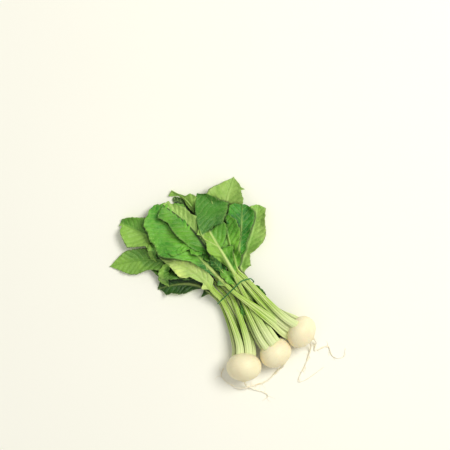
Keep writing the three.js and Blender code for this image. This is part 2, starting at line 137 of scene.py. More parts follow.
def addPiece(name, bm, material, node=None):  # node is the CAD node that the piece stands for
    piece = newPiece(name, bm, material)
    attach(piece, "root")
    if node:
        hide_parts(node)
    return piece


def tubeInto(bm, rings, layers):
    # rings is stations x around x 3. A grid is bent round into the tube, its seam merged and its ends filled.
    # layers holds values for each of those points, by attribute name.
    stations, around = rings.shape[:2]
    bm.loops.layers.uv.verify()
    kinds = bm.verts.layers.float_vector
    stores = {name: kinds.get(name) or kinds.new(name) for name in layers}
    grid = {"x_segments": around, "y_segments": stations - 1, "size": 1, "calc_uvs": True}
    made = bmesh.ops.create_grid(bm, **grid)["verts"]
    for vert in made:
        column = round((vert.co.x + 1) / 2 * around) % around
        row = round((vert.co.y + 1) / 2 * (stations - 1))
        vert.co = rings[row, column]
        for name, store in stores.items():
            vert[store] = layers[name][row, column]
    bmesh.ops.remove_doubles(bm, verts=made, dist=1e-7)
    made = [vert for vert in made if vert.is_valid]
    ends = [edge for edge in {e for vert in made for e in vert.link_edges} if edge.is_boundary]
    bmesh.ops.holes_fill(bm, edges=ends, sides=0)
    bmesh.ops.recalc_face_normals(bm, faces=list({face for vert in made for face in vert.link_faces}))


# Shader helpers
class Shader:
    def __init__(self, tree):
        self.tree = tree

    def feed(self, socket, value):
        if isinstance(value, bpy.types.NodeSocket):
            self.tree.links.new(value, socket)
        else:
            socket.default_value = value

    def node(self, kind, inputs=None, **settings):
        made = self.tree.nodes.new(kind)
        for name, value in settings.items():
            setattr(made, name, value)
        for key, value in (inputs or {}).items():
            self.feed(made.inputs[key], value)
        return made

    def math(self, operation, a, b=0.0, clamp=False):
        return self.node("ShaderNodeMath", {0: a, 1: b}, operation=operation, use_clamp=clamp).outputs[0]

    def plus(self, a, b):
        return self.math("ADD", a, b)

    def minus(self, a, b):
        return self.math("SUBTRACT", a, b)

    def times(self, a, b):
        return self.math("MULTIPLY", a, b)

    def inverse(self, value):  # 1 where the value is 0
        return self.math("SUBTRACT", 1.0, value, clamp=True)

    def blend(self, share, a, b):
        inputs = {0: share, 6: a, 7: b}
        return self.node("ShaderNodeMix", inputs, data_type="RGBA", clamp_factor=True).outputs[2]

    def coats(self, base, *coats):  # each one a mask, how strongly it shows, and its colour
        for mask, strength, tint in coats:
            base = self.blend(self.times(mask, strength), base, tint)
        return base

    def span(self, value, low, high, toLow=0.0, toHigh=1.0):
        inputs = {"Value": value, "From Min": low, "From Max": high, "To Min": toLow, "To Max": toHigh}
        return self.node("ShaderNodeMapRange", inputs, interpolation_type="SMOOTHSTEP").outputs[0]

    def noise(self, vector, scale, detail=3.0, rough=0.55, distortion=0.0):
        inputs = {"Vector": vector, "Scale": scale, "Detail": detail, "Roughness": rough}
        return self.node("ShaderNodeTexNoise", {**inputs, "Distortion": distortion}).outputs["Fac"]

    def patches(self, vector, scale, detail, low, high):  # a soft-edged mask
        return self.span(self.noise(vector, scale, detail), low, high)

    def vector(self, x, y, z=0.0):
        return self.node("ShaderNodeCombineXYZ", {"X": x, "Y": y, "Z": z}).outputs[0]

    def split(self, vector):
        return list(self.node("ShaderNodeSeparateXYZ", {0: vector}).outputs)

    def attribute(self, name, output="Vector"):
        return self.node("ShaderNodeAttribute", attribute_name=name).outputs[output]

    def here(self):
        return self.node("ShaderNodeTexCoord").outputs["Object"]

    def finish(self, surface, base, rough, relief, strength, depth):  # depth is the bump's, in metres
        self.feed(surface["Base Color"], base)
        self.feed(surface["Roughness"], rough)
        bump = self.node("ShaderNodeBump", {"Strength": strength, "Distance": depth, "Height": relief})
        self.feed(surface["Normal"], bump.outputs[0])


def colour(red, green, blue, paintedShade=0.0):  # from the usual 0 to 255 to linear light, darkened to 0.55 of it as painted shade where the last argument is 1
    linear = [(c / 255) / 12.92 if c < 11 else ((c / 255 + 0.055) / 1.055) ** 2.4 for c in (red, green, blue)]
    return (*[mix(c, c * 0.55, paintedShade) for c in linear], 1.0)


def newGroup(name, inputs, outputs):
    group = bpy.data.node_groups.new(name, "ShaderNodeTree")
    for label, kind in inputs.items():
        group.interface.new_socket(name=label, in_out="INPUT", socket_type="NodeSocket" + kind)
    for label in outputs:
        group.interface.new_socket(name=label, in_out="OUTPUT", socket_type="NodeSocketFloat")
    shader = Shader(group)
    return group, shader, shader.node("NodeGroupInput").outputs, shader.node("NodeGroupOutput").inputs


def newMaterial(name, constants):
    material = bpy.data.materials.new(name)
    material.use_nodes = True
    surface = material.node_tree.nodes["Principled BSDF"].inputs
    for key, value in constants.items():
        surface[key].default_value = value
    return material, Shader(material.node_tree), surface


def makeVeinGroup():
    # The net of veins on a blade, from its own map: x across the rib and y along it in millimetres, z the
    # number of side veins passed
    inputs = {"Map": "Vector", "Vein Gap": "Float", "Seed": "Float"}
    group, g, given, result = newGroup("leafVeins", inputs, ("Side Vein", "Net", "Height"))
    across, along, passed = g.split(given["Map"])
    flat = g.vector(across, along, given["Seed"])
    phase = g.plus(passed, g.times(g.minus(g.noise(flat, 0.16, 2.0), 0.5), 0.34))
    nearest = g.math("ABSOLUTE", g.minus(g.math("FRACT", g.plus(phase, 0.5)), 0.5))
    width = g.span(g.math("ABSOLUTE", across), 0.0, 34.0, 0.95, 0.35)
    fromVein = g.math("DIVIDE", g.times(nearest, given["Vein Gap"]), width)
    sideVein = g.inverse(g.span(fromVein, 0.35, 1.0))
    warp = g.node("ShaderNodeTexNoise", {"Vector": flat, "Scale": 0.22, "Detail": 2.0}).outputs["Color"]
    shift = g.node("ShaderNodeVectorMath", {0: warp, "Scale": 5.0}, operation="SCALE").outputs[0]
    bent = g.node("ShaderNodeVectorMath", {0: flat, 1: shift}, operation="ADD").outputs[0]

    def fromEdge(scale):
        inputs = {"Vector": bent, "Scale": scale}
        return g.node("ShaderNodeTexVoronoi", inputs, feature="DISTANCE_TO_EDGE").outputs["Distance"]

    wide, fine = fromEdge(0.21), fromEdge(0.6)
    net = g.inverse(g.span(wide, 0.015, 0.075))
    fineNet = g.inverse(g.span(fine, 0.02, 0.1))
    puff = g.plus(g.times(g.span(wide, 0.0, 0.35), 0.6), g.times(g.span(fine, 0.0, 0.3), 0.25))
    g.feed(result["Side Vein"], sideVein)
    g.feed(result["Net"], g.math("MAXIMUM", net, g.times(fineNet, 0.45)))
    g.feed(result["Height"], g.plus(puff, g.times(sideVein, -0.5)))
    return group


def makeStreakGroup():
    # Long pale and green lines along a stalk, from its own map: x round it, y millimetres from the crown
    inputs = {"Map": "Vector", "Seed": "Float"}
    group, g, given, result = newGroup("stalkStreaks", inputs, ("Line", "Broad", "Height"))
    around, along = g.split(given["Map"])[:2]

    def streak(perTurn, perLength, detail):
        spot = g.vector(g.times(around, perTurn), g.times(along, perLength), given["Seed"])
        return g.noise(spot, 1.0, detail, 0.6)

    line = streak(46.0, 0.012, 2.0)
    g.feed(result["Line"], g.span(line, 0.5, 0.64))
    g.feed(result["Broad"], g.span(streak(9.0, 0.02, 2.0), 0.35, 0.65))
    g.feed(result["Height"], g.plus(line, g.times(streak(90.0, 0.03, 1.0), 0.4)))
    return group


# Leaf finishes. deep and light are the two greens that the blade wanders between, vein its side veins and rib
# its midrib. leftColour and rightColour tint the two halves, and start is painted shade on the blade near the
# stalk.
veinGroup, streakGroup = makeVeinGroup(), makeStreakGroup()
leafTints = {
    "stalkBase": colour(240, 246, 190), "stalk": colour(176, 216, 72), "stalkLine": colour(122, 176, 42),
    # the pale streak colour is partly the stalks' own and partly painted highlight
    "stalkPaleAndHighlight": colour(226, 238, 158), "groove": colour(112, 158, 36), "underside": colour(174, 208, 108),
    "undersideVein": colour(206, 222, 150),
    "gap": colour(20, 54, 10),  # painted shade, where a leaf or stalk lies deep beside a higher one
}
baseTints = {
    "deep": (58, 112, 34), "light": (96, 158, 52), "vein": (150, 190, 96), "edge": (128, 168, 70),
    "rib": (190, 212, 118), "underLight": (182, 206, 118), "leftColour": (96, 160, 50),
    "rightColour": (96, 160, 50),
}
baseLook = {  # ribShow is how far the rib's own colour shows near the stalk and far out on the blade
    "ribShow": (0.55, 0.35), "leftTint": 0.0, "rightTint": 0.0, "veinGap": 9.0, "side": 0.5, "net": 0.22,
    # the gap strength is how strongly the painted gap shade shows away from the crown
    "rough": 0.36, "gapDepth": 0.8,
}


def bladeColour(s, tints, look, across, along, patches, mottle, margin, veins):
    blade = s.blend(patches, tints["deep"], tints["light"])
    left = s.blend(look["leftTint"], blade, tints["leftColour"])
    right = s.blend(look["rightTint"], blade, tints["rightColour"])
    blade = s.blend(s.span(across, -1.5, 1.5), left, right)
    blade = s.coats(blade, (s.span(mottle, 0.4, 0.7), 0.22, tints["light"]))
    # painted shade: near the stalk the blade takes the dark start colour, standing in for the shadow of what
    # lies over it
    if "start" in tints:
        blade = s.blend(s.span(along, 44.0, 66.0, 0.85, 0.0), blade, tints["start"])
    edge = s.span(margin, 0.86, 1.0)
    net = (veins["Net"], look["net"], tints["vein"])
    sideVein = (veins["Side Vein"], look["side"], tints["vein"])
    return s.coats(blade, (edge, 0.45, tints["edge"]), net, sideVein)


def undersideColour(s, tints, patches, veins):
    pale = s.blend(patches, leafTints["underside"], tints["underLight"])
    vein = leafTints["undersideVein"]
    return s.coats(pale, (veins["Net"], 0.3, vein), (veins["Side Vein"], 0.6, vein))


def stalkColour(s, fromCrown, turn, streaks):
    grooves = s.math("FRACT", s.plus(s.times(turn, 2.0 * stalkForm["ridges"]), 0.5))
    inGroove = s.inverse(s.span(s.math("ABSOLUTE", s.minus(grooves, 0.5)), 0.02, 0.2))
    # the pale streaks are partly the stalks' own colour, lightened further as painted highlight
    stalk = s.blend(streaks["Broad"], leafTints["stalk"], leafTints["stalkPaleAndHighlight"])
    line, groove = (streaks["Line"], 0.75, leafTints["stalkLine"]), (inGroove, 0.75, leafTints["groove"])
    stalk = s.coats(stalk, line, groove)
    return s.blend(s.span(fromCrown, 12.0, 62.0, 0.7, 0.0), stalk, leafTints["stalkBase"])


def leafMaterial(name, tints, look, seed, paintedShade=0.0):
    constants = {"Roughness": 0.5, "Specular IOR Level": 0.42, "Sheen Weight": 0.06}
    material, s, surface = newMaterial(name + "_skin", constants)
    # painted shade: the darkening turns the two blade greens darker for lobes lying in shadow
    tints = {key: colour(*rgb, paintedShade if key in ("deep", "light") else 0.0) for key, rgb in tints.items()}
    leafMap, stalkMap = s.attribute("leafMap"), s.attribute("stalkMap")
    ribness, under, margin = s.split(s.attribute("leafSide"))
    veinInputs = {"Map": leafMap, "Vein Gap": look["veinGap"], "Seed": seed * 7.3}
    veins = s.node("ShaderNodeGroup", veinInputs, node_tree=veinGroup).outputs
    streaks = s.node("ShaderNodeGroup", {"Map": stalkMap, "Seed": seed * 3.1}, node_tree=streakGroup).outputs
    across, along = s.split(leafMap)[:2]
    fromCrown, turn = s.split(stalkMap)[1:]
    spot = s.here()
    patches = s.span(s.noise(spot, 26.0, 3.0, 0.6, 0.4), 0.36, 0.66)
    mottle = s.noise(spot, 260.0, 4.0, 0.6)
    blade = bladeColour(s, tints, look, across, along, patches, mottle, margin, veins)
    blade = s.blend(under, blade, undersideColour(s, tints, patches, veins))
    stalk = stalkColour(s, fromCrown, turn, streaks)
    stalk = s.coats(stalk, (s.span(along, 0.0, 22.0), 0.95, tints["rib"]))
    near, far = look["ribShow"]
    shown = s.times(s.span(along, 0.0, 20.0, 1.0, near), s.span(along, 30.0, 75.0, 1.0, far))
    whole = s.blend(s.times(ribness, shown), blade, stalk)
    # painted shade: a near-black green over points that lie deep below their surroundings, weaker near the
    # crown
    gap = s.times(s.attribute("gapShade", "Fac"), s.span(fromCrown, 15.0, 55.0, 0.3, look["gapDepth"]))
    whole = s.blend(gap, whole, leafTints["gap"])
    rough = s.plus(s.plus(s.times(mottle, 0.22), look["rough"]), s.times(under, 0.16))
    relief = s.times(veins["Height"], s.minus(1.0, ribness))
    relief = s.plus(relief, s.times(s.times(streaks["Height"], ribness), 0.7))
    relief = s.plus(relief, s.times(mottle, 0.16))
    s.finish(surface, whole, rough, relief, 0.8, 0.0006)
    return material


# Bulbs and stalks, as the CAD model has them
bulbs = {
    "left": {"middle": (13, -109.5), "heading": -90, "width": 50, "length": 40},
    "middle": {"middle": (58, -90), "heading": -55, "width": 46, "length": 39},
    "right": {"middle": (95, -60), "heading": -30, "width": 48, "length": 37},
}
stalkForm = {
    "base": (12, 7), "neck": (6.2, 4.8), "end": (1.6, 1.7),  # width and height at crown, neck and tip
    "ridges": 4, "ridgeDepth": 0.2, "channel": 0.1, "channelWide": 0.28,
    "inBulb": 10, "setOut": (3, 30),  # how deep it starts in the bulb, and two places on the bulb's axis
    "step": 2.4, "bladeStep": 1.1, "top": 33,  # station distances, and points across the top
    "bladeThick": 0.45, "thinner": 0.35, "ribWide": 0.62, "ribSink": 0.12,
    "coverFrom": 12, "coverTo": 6,  # a stalk counts as lying on others this far before the tie and the neck
}
tieAngle = math.radians(44)
tieAcross = np.array([math.cos(tieAngle), math.sin(tieAngle)])

outlines = {  # share of the half width by share of the blade's length
    "lobed": [(0, 0.2), (0.08, 0.42), (0.3, 0.5), (0.45, 0.8), (0.66, 1), (0.85, 0.86), (0.95, 0.5),
              (1, 0.1)],
    "broad": [(0, 0.2), (0.12, 0.66), (0.35, 1), (0.7, 0.95), (0.9, 0.62), (1, 0.1)],
}

# Every leaf: its stalk's place at the crown (slot) and under the tie (across), its way beyond that to the
# tip, and neck, the number of its spans beyond the tie before the blade starts. leftEdge and rightEdge are
# corners of the margin, in plan millimetres, where it shows. curl lifts the two margins. They are listed
# from the lowest leaf beyond the tie to the highest.
leafDefaults = {
    "sides": (1, 1), "outline": "lobed", "finish": "leaf_fresh", "leftEdge": [], "rightEdge": [],
    "flipped": False,
    "stalkWide": 1, "stalkAside": 0, "ribUp": 0.75, "ribSlim": 1, "slimBefore": 0, "ribOver": False,
    "stalkUnder": None,  # a leaf that lies over this one's stalk and under its blade
    "tints": {}, "look": {},
}
leaves = {
    "leaf_left_1": {
        "slot": -12, "across": -28, "neck": 1, "half": 23, "sides": (1, 0.8), "outline": "broad",
        "curl": (2, 5),
        "beyond": [(-33, -6), (-48, 4), (-68, 8), (-90, 6), (-110, 1)], "finish": "leaf_deep",
        "leftEdge": [(-43, 3), (-58, -1), (-69, -6), (-79, -7), (-89, -5), (-96, -8), (-102, -3),
                     (-108, 3)],
        # painted shade: its greens are near black, as this lowest leaf lies in the shadow of the leaves above
        "tints": {"deep": (16, 50, 10), "light": (42, 92, 22), "vein": (104, 144, 66)},
    },
    "leaf_left_5": {
        "slot": 11, "across": -15, "neck": 2, "half": 19, "outline": "broad", "finish": "leaf_deep",
        "curl": (4, 0), "beyond": [(-23, 3), (-37, 19), (-55, 27), (-78, 33), (-101, 36), (-124, 37)],
        "leftEdge": [(-86, 14), (-100, 13), (-109, 19), (-117, 26), (-123, 31), (-126, 37)],
        # painted shade: its greens are darkened, as it lies in the shadow of the leaves above
        "tints": {"deep": (30, 72, 18), "light": (78, 134, 38)},
    },
    "leaf_left_3": {
        "slot": -0.5, "across": -21.5, "neck": 3, "half": 18, "sides": (1, 0.9), "finish": "leaf_deep",
        "curl": (1.5, 0),
        "beyond": [(-28, -2), (-41, 15), (-60, 31), (-88, 40), (-122, 43), (-153, 40), (-179, 33)],
        "leftEdge": [(-122, 28), (-138, 22), (-149, 21), (-160, 26), (-169, 29), (-178, 34)],
        "rightEdge": [(-127, 59), (-155, 56), (-163, 49), (-178, 34)],
        "tints": {"deep": (80, 134, 42), "light": (136, 184, 68), "rib": (104, 150, 62)},
    },
    "leaf_left_4": {
        "slot": 6, "across": -8.5, "neck": 3, "half": 24, "finish": "leaf_deep", "curl": (6, 0),
        "beyond": [(-18, 7), (-34, 28), (-57, 46), (-87, 62), (-122, 77), (-164, 96)],
        "leftEdge": [(-127, 61), (-140, 60), (-153, 59), (-157, 66), (-162, 78), (-164, 86), (-161, 91),
                     (-162, 101)],
        # painted light: the left half is tinted paler, where the bent blade turns towards the light
        "rightEdge": [(-127, 103), (-149, 103), (-162, 101)], "look": {"leftTint": 0.8},
        "tints": {"deep": (72, 130, 40), "light": (108, 168, 56), "leftColour": (160, 206, 88),
                  "rib": (104, 150, 62)},
    },
    "leaf_left_2": {
        "slot": -6, "across": -24.5, "neck": 1.2, "half": 20, "outline": "broad", "finish": "leaf_pale",
        "beyond": [(-30, -4), (-42, 11), (-59, 26), (-83, 39), (-113, 54)], "flipped": True, "ribUp": 0.15,
        "leftEdge": [(-45, 9), (-51, 11), (-57, 14), (-63, 17), (-68, 15), (-77, 16), (-83, 22), (-92, 33),
                     (-104, 42), (-113, 55)],
        "curl": (6, 0), "tints": {"underLight": (224, 242, 138)}, "look": {"ribShow": (0.2, 0.5)},
    },
    "leaf_middle_1": {
        "slot": -10.5, "across": -2, "neck": 2, "stalkWide": 0.65, "half": 20, "curl": (8, 0),
        "beyond": [(-12, 13), (-27, 38), (-40, 66), (-50, 92), (-62, 118), (-76, 133), (-91, 142)],
        "leftEdge": [(-56, 110), (-64, 115), (-69, 121), (-72, 128), (-81, 134), (-88, 134), (-95, 134),
                     (-91, 143)],
        "rightEdge": [(-55, 133), (-63, 137), (-71, 134), (-82, 136), (-91, 143)],
        "tints": {"deep": (112, 170, 56), "light": (164, 204, 96)},
    },
    "leaf_middle_4": {
        "slot": 0, "across": 4.5, "neck": 3, "half": 24, "finish": "leaf_pale", "curl": (3, 1),
        "beyond": [(-6, 19), (-9, 44), (-11, 70), (-13, 98), (-11, 128), (-1, 162)],
        "leftEdge": [(-40, 136), (-38, 141), (-31, 147), (-22, 150), (-16, 154), (-2, 161)],
        "rightEdge": [(12, 124), (13, 129), (10, 134), (9, 141), (15, 143), (9, 146), (6, 151), (-2, 161)],
        "tints": {"deep": (140, 184, 78), "light": (176, 208, 108)}, "look": {"side": 0.35},
    },
    "leaf_right_4": {
        "slot": 11, "across": 23, "neck": 0.3, "half": 19, "finish": "leaf_pale", "curl": (0, 3),
        "beyond": [(8, 32), (15, 52), (23, 75), (29, 98), (33, 122)], "ribUp": 0.2, "stalkAside": -4.0,
        "rightEdge": [(25, 27), (27, 32), (23, 35), (22, 42), (22, 50), (30, 55), (41, 67), (45, 77),
                      (43, 100), (45, 116), (35, 123)],
        "tints": {"deep": (136, 192, 76), "light": (180, 218, 112), "edge": (158, 148, 84)},
        "look": {"ribShow": (0.3, 0.3)},
    },
    "leaf_middle_5": {
        "slot": 10.5, "across": 11, "neck": 2, "half": 21, "curl": (0, 5),
        "beyond": [(-1, 24), (4, 45), (7, 68), (10, 94), (11, 122)],
        "leftEdge": [(-13, 93), (-11, 106), (-8, 119), (0, 124)],
        "rightEdge": [(16, 63), (20, 75), (24, 87), (29, 101), (28, 110), (19, 120), (11, 125)],
        "tints": {"deep": (10, 106, 22), "light": (84, 178, 38)}, "look": {"side": 0.4},
    },
    "leaf_right_3": {
        "slot": 5.5, "across": 22.5, "neck": 1, "half": 18, "curl": (0, 3),
        "beyond": [(3, 28), (-1, 45), (-7, 63), (-11, 83), (-14, 107)],
        "tints": {"deep": (88, 164, 44), "light": (140, 204, 62)},
    },
    "leaf_right_1": {
        "slot": -11, "across": -3.5, "neck": 0.5, "half": 33, "sides": (1, 0.9), "curl": (3, 0),
        "beyond": [(-15, 10), (-34, 29), (-56, 52), (-84, 80), (-119, 117)], "stalkWide": 1.5,
        "stalkAside": 2.5,
        "leftEdge": [(-23, 15), (-43, 27), (-63, 39), (-85, 42), (-100, 44), (-108, 47), (-112, 54),
                     (-114, 62), (-122, 69), (-123, 78), (-130, 90), (-127, 102), (-123, 105), (-122, 114)],
        "rightEdge": [(-66, 112), (-72, 122), (-82, 123), (-90, 121), (-99, 123), (-107, 120)],
        # start is painted shade: a dark green standing in for the shadow that falls on the narrow base of the
        # blade
        "tints": {"deep": (60, 146, 34), "light": (124, 198, 58), "start": (24, 108, 32)},
        "look": {"ribShow": (1.0, 0.0)},
    },
    "leaf_middle_2": {
        "slot": -5, "across": 3, "neck": 2, "half": 21, "sides": (0.95, 1.1), "curl": (6, 3),
        "beyond": [(-10, 16), (-27, 38), (-40, 57), (-57, 81), (-79, 103), (-103, 121)], "ribSlim": 0.85,
        "ribUp": 0.1,
        "leftEdge": [(-41, 53), (-54, 54), (-64, 59), (-69, 64), (-83, 76), (-89, 84), (-95, 94),
                     (-104, 99), (-109, 101), (-108, 107), (-103, 120)],
        "rightEdge": [(-48, 75), (-52, 82), (-53, 93), (-53, 104), (-60, 106), (-71, 117), (-78, 119),
                      (-90, 122)],
        # painted shade: the rib is near black, as the shadow in the crease along it
        "tints": {"deep": (62, 134, 30), "light": (106, 172, 50), "rightColour": (186, 220, 118),
                  "rib": (20, 54, 12)},
        "look": {"rightTint": 0.92, "ribShow": (1.0, 0.9)},
    },
    "leaf_right_2": {
        "slot": 0, "across": 16, "neck": 0.7, "half": 22, "sides": (0.9, 1), "curl": (2, 2),
        "beyond": [(-1, 24), (-12, 43), (-22, 60), (-32, 77), (-43, 97)],
        "leftEdge": [(-11, 32), (-22, 39), (-33, 46), (-39, 54), (-40, 64), (-45, 73)],
        "rightEdge": [(-18, 60), (-14, 67), (-11, 77), (-10, 86), (-13, 94)],
        "stalkWide": 1.65, "stalkAside": -0.3, "ribOver": True,
        "tints": {"deep": (84, 154, 40), "light": (122, 186, 56), "leftColour": (156, 200, 78),
                  "rib": (206, 228, 138)},
        "look": {"leftTint": 0.8, "ribShow": (1.0, 1.0)},
    },
    "leaf_middle_3": {
        "slot": 5, "across": 9.5, "neck": 4, "half": 41, "sides": (0.05, 1), "outline": "broad",
        "curl": (0, 4),
        "beyond": [(0, 21), (-12, 41), (-25, 60), (-45, 74), (-51, 92), (-54, 114), (-54, 138)],
        "rightEdge": [(-44, 75), (-38, 80), (-33, 84), (-30, 89), (-22, 92), (-16, 93), (-11, 106),
                      (-9, 117),
                      (-8, 123), (-21, 126), (-28, 131), (-40, 136), (-43, 137), (-49, 139), (-53, 137)],
        "ribSlim": 0.25, "slimBefore": 42, "stalkUnder": "leaf_right_2",
        "tints": {"deep": (38, 100, 22), "light": (72, 142, 36), "rib": (120, 176, 70)},
        "look": {"side": 0.4, "veinGap": 10.0, "ribShow": (0.3, 0.6)},
    },
}
for seed, (name, leaf) in enumerate(leaves.items(), 1):
    leaf = {**leafDefaults, **leaf, "seed": seed, "bulb": bulbs[name.split("_")[1]]}
    leaf["tints"] = {**baseTints, **leaf["tints"]}
    leaf["look"] = {**baseLook, **leaf["look"]}
    leaves[name] = leaf


def refine(grid, times):  # points added between the rows and columns of a grid
    for _ in range(times):
        rows = np.empty((2 * grid.shape[0] - 1, *grid.shape[1:]))
        rows[::2], rows[1::2] = grid, (grid[1:] + grid[:-1]) / 2
        grid = np.empty((rows.shape[0], 2 * rows.shape[1] - 1, *rows.shape[2:]))
        grid[:, ::2], grid[:, 1::2] = rows, (rows[:, 1:] + rows[:, :-1]) / 2
    return grid


class Pile:
    # The heights already taken on the table, on a square grid over it, in millimetres
    cell, half = 0.7, 210.0

    def __init__(self):
        side = int(2 * self.half / self.cell)
        self.heights = np.zeros((side, side))

    def cells(self, plan):
        spot = ((plan + self.half) / self.cell).astype(int)
        spot = np.clip(spot, 0, self.heights.shape[0] - 1)
        return spot[..., 0], spot[..., 1]

    def under(self, plan):
        return self.heights[self.cells(plan)]

    def cover(self, plan, z, times):
        fine = refine(np.concatenate([plan, z[..., None]], -1), times)
        np.maximum.at(self.heights, self.cells(fine[..., :2]), fine[..., 2])


pile = Pile()  # what a leaf has to lie on
relief = Pile()  # the whole top surface, also on the near side of the tie
foliage = []


def addFoliage(name, bm, material, node=None):
    foliage.append(addPiece(name, bm, material, node))


def outlineAt(table, t):
    value = np.full_like(t, table[0][1])
    for (t0, v0), (t1, v1) in zip(table, table[1:]):
        value = np.where(t >= t0, mix(v0, v1, smoothStep(t, t0, t1)), value)
    return value


def leafPath(leaf):
    heading = math.radians(leaf["bulb"]["heading"])
    outOfCrown = np.array([-math.cos(heading), -math.sin(heading)])
    sideways = np.array([outOfCrown[1], -outOfCrown[0]])
    middle = np.array(leaf["bulb"]["middle"])
    start = [middle + outOfCrown * out + sideways * leaf["slot"] for out in stalkForm["setOut"]]
    return smoothPath([*start, tieAcross * leaf["across"], *leaf["beyond"]])


def solidTree(node):  # a merged copy of a CAD node, to read its surface
    bm = bmesh.new()
    bm.from_mesh(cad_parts[node].data)
    bmesh.ops.remove_doubles(bm, verts=bm.verts, dist=1e-6)
    tree = BVHTree.FromBMesh(bm)
    bm.free()
    return tree


def undersideOf(tree, xy):  # heights of a CAD leaf's underside in millimetres, and nan beside it
    heights = np.full(xy.shape[:-1], np.nan)
    up = Vector((0, 0, 1))
    for spot in np.ndindex(heights.shape):
        hit = tree.ray_cast(Vector((*xy[spot], -1)), up)[0]
        if hit:
            heights[spot] = hit.z / mm
    return heights


def fillBeside(heights):  # spots beside the solid take the height of the nearest one towards the rib
    centre = heights.shape[1] // 2
    rib = heights[:, centre]
    known = np.flatnonzero(~np.isnan(rib))
    heights[:, centre] = np.interp(np.arange(len(rib)), known, rib[known])
    for step in (1, -1):
        for column in range(centre + step, heights.shape[1] if step > 0 else -1, step):
            missing = np.isnan(heights[:, column])
            heights[missing, column] = heights[missing, column - step]
    return heights


marginForm = {
    "lobe": 0.12, "notch": 0.3, "tooth": 2.0, "toothGap": 6.5, "drawnTooth": 1.3,  # plan of the margins
    "lobeLength": 8.5, "edgeFade": 8, "toothSize": (0.25, 1),
    "puff": 1.15, "ruffle": 2.2, "wave": 2.8, "crinkle": 0.45, "bend": 3.2,  # heights, in millimetres
    "ruffleLength": 5, "waveLength": 12, "crinkleLengths": (3.7, 6, 6.1, 3.3), "bendLengths": (15, 22),
    "curlLength": 10, "clear": 0.15,  # between a blade and what it lies on
}


def veinPhase(along, across, gapBetween, seed):  # how many side veins a spot lies past
    out = np.abs(across)
    wander = 0.25 * ripple(along / 16 + across / 30, seed)
    return (along - 0.85 * out - 0.006 * out**2) / gapBetween + 0.45 * smoothStep(across, -1.5, 1.5) + wander


def leafCourse(leaf):  # stations along the leaf's way, and the width and height of its stalk and rib at each
    form = stalkForm
    path = leafPath(leaf)
    lengths = lengthsOf(path)
    tieAt, neckAt = (lengths[round((2 + spans) * pathSteps)] for spans in (0, leaf["neck"]))
    bladeLength = lengths[-1] - neckAt
    stations = np.concatenate([
        np.arange(leaf["bulb"]["length"] / 2 - form["inBulb"], neckAt - form["step"] / 2, form["step"]),
        np.linspace(neckAt, lengths[-1], int(bladeLength / form["bladeStep"])),
    ])
    centre = pointsAt(path, lengths, stations)
    tangent = unitRows(np.gradient(centre, stations, axis=0))
    blade = np.clip((stations - neckAt) / bladeLength, 0, 1)
    aside = leaf["stalkAside"] * smoothStep(stations, 15, 40) * smoothStep(stations, tieAt, tieAt * 0.6)
    broad = 1 + (leaf["stalkWide"] - 1) * smoothStep(stations, tieAt, tieAt * 0.55)
    slim = smoothStep(stations, neckAt - leaf["slimBefore"], neckAt + 0.08 * bladeLength)
    slim = mix(1, leaf["ribSlim"], slim)
    size = []
    for base, neck, end, wide in zip(form["base"], form["neck"], form["end"], (broad, 1)):
        onStalk = mix(base, neck, smoothStep(stations, 0, tieAt))
        size.append(slim * wide * np.where(stations < neckAt, onStalk, mix(neck, end, np.sqrt(blade))))
    return SimpleNamespace(
        path=path, tieAt=tieAt, neckAt=neckAt, stations=stations, centre=centre, tangent=tangent,
        toRight=rightOf(tangent), aside=aside, blade=blade, size=size,
        stalkness=1 - smoothStep(blade, 0, 0.1))


def marginWidths(leaf, side, course):  # how far one half of the blade reaches at each station
    form, blade, stations, seed = marginForm, course.blade, course.stations, leaf["seed"]
    rng = np.random.default_rng(seed * 10 + side)
    width = leaf["half"] * leaf["sides"][side] * outlineAt(outlines[leaf["outline"]], blade)
    along = stations - stations[np.argmax(blade > 0)]
    lobe = ripple(along / form["lobeLength"], seed * 3 + side, (0.5, 1.1, 2.0))
    notched = smoothStep(blade, 0.5, 0.2) if leaf["outline"] == "lobed" else 0 * blade
    width = width * (1 + form["lobe"] * lobe + form["notch"] * notched * lobe)
    teeth = np.full_like(width, form["tooth"])
    corners = np.array(leaf[("leftEdge", "rightEdge")[side]], float)
    if len(corners):
        onBlade = np.flatnonzero(blade > 0)
        apart = np.linalg.norm(corners[:, None] - course.centre[None, onBlade], axis=2)
        at = stations[onBlade[apart.argmin(1)]]
        order = np.argsort(at, kind="stable")
        drawn = np.interp(stations, at[order], apart.min(1)[order])
        fade = form["edgeFade"]
        share = smoothStep(stations, at.min() - fade, at.min())
        share = share * smoothStep(stations, at.max() + fade, at.max())
        width = mix(width, drawn, share)
        teeth = mix(teeth, form["drawnTooth"], share)
    turn = along / form["toothGap"] + 0.35 * ripple(stations / 9, seed + side)
    tooth = rng.uniform(*form["toothSize"], 400)[np.floor(turn).astype(int)]
    rise = (turn - np.floor(turn)) ** 1.4
    width = width + teeth * (tooth * rise - 0.3) * smoothStep(width, 3, 14)
    return np.maximum(width, course.size[0] * 0.5)


def bladeGrid(leaf, course):  # the blade's points, by station and across it, in the plan and in its own map
    q = np.linspace(-1, 1, stalkForm["top"])
    t = np.sign(q) * np.abs(q) ** 1.3
    right = (q > 0).astype(int)
    widths = np.stack([marginWidths(leaf, side, course) for side in (0, 1)], 1)[:, right]
    across = t[None, :] * widths
    out = np.abs(across)
    along = (course.stations - course.neckAt)[:, None] + 0 * across
    return SimpleNamespace(
        q=q, right=right, across=across, out=out, along=along, margin=np.abs(t)[None, :] + 0 * across,
        forward=(np.abs(t) ** 2)[None, :] * np.minimum(widths, 12) * 0.1,
        phase=veinPhase(along, across, leaf["look"]["veinGap"], leaf["seed"]),
        free=(1 - course.stalkness)[:, None] * smoothStep(out, 1, 7))


def inPlace(course, across, forward):
    aside = course.toRight[:, None] * across[..., None]
    return course.centre[:, None] + aside + course.tangent[:, None] * forward[..., None]


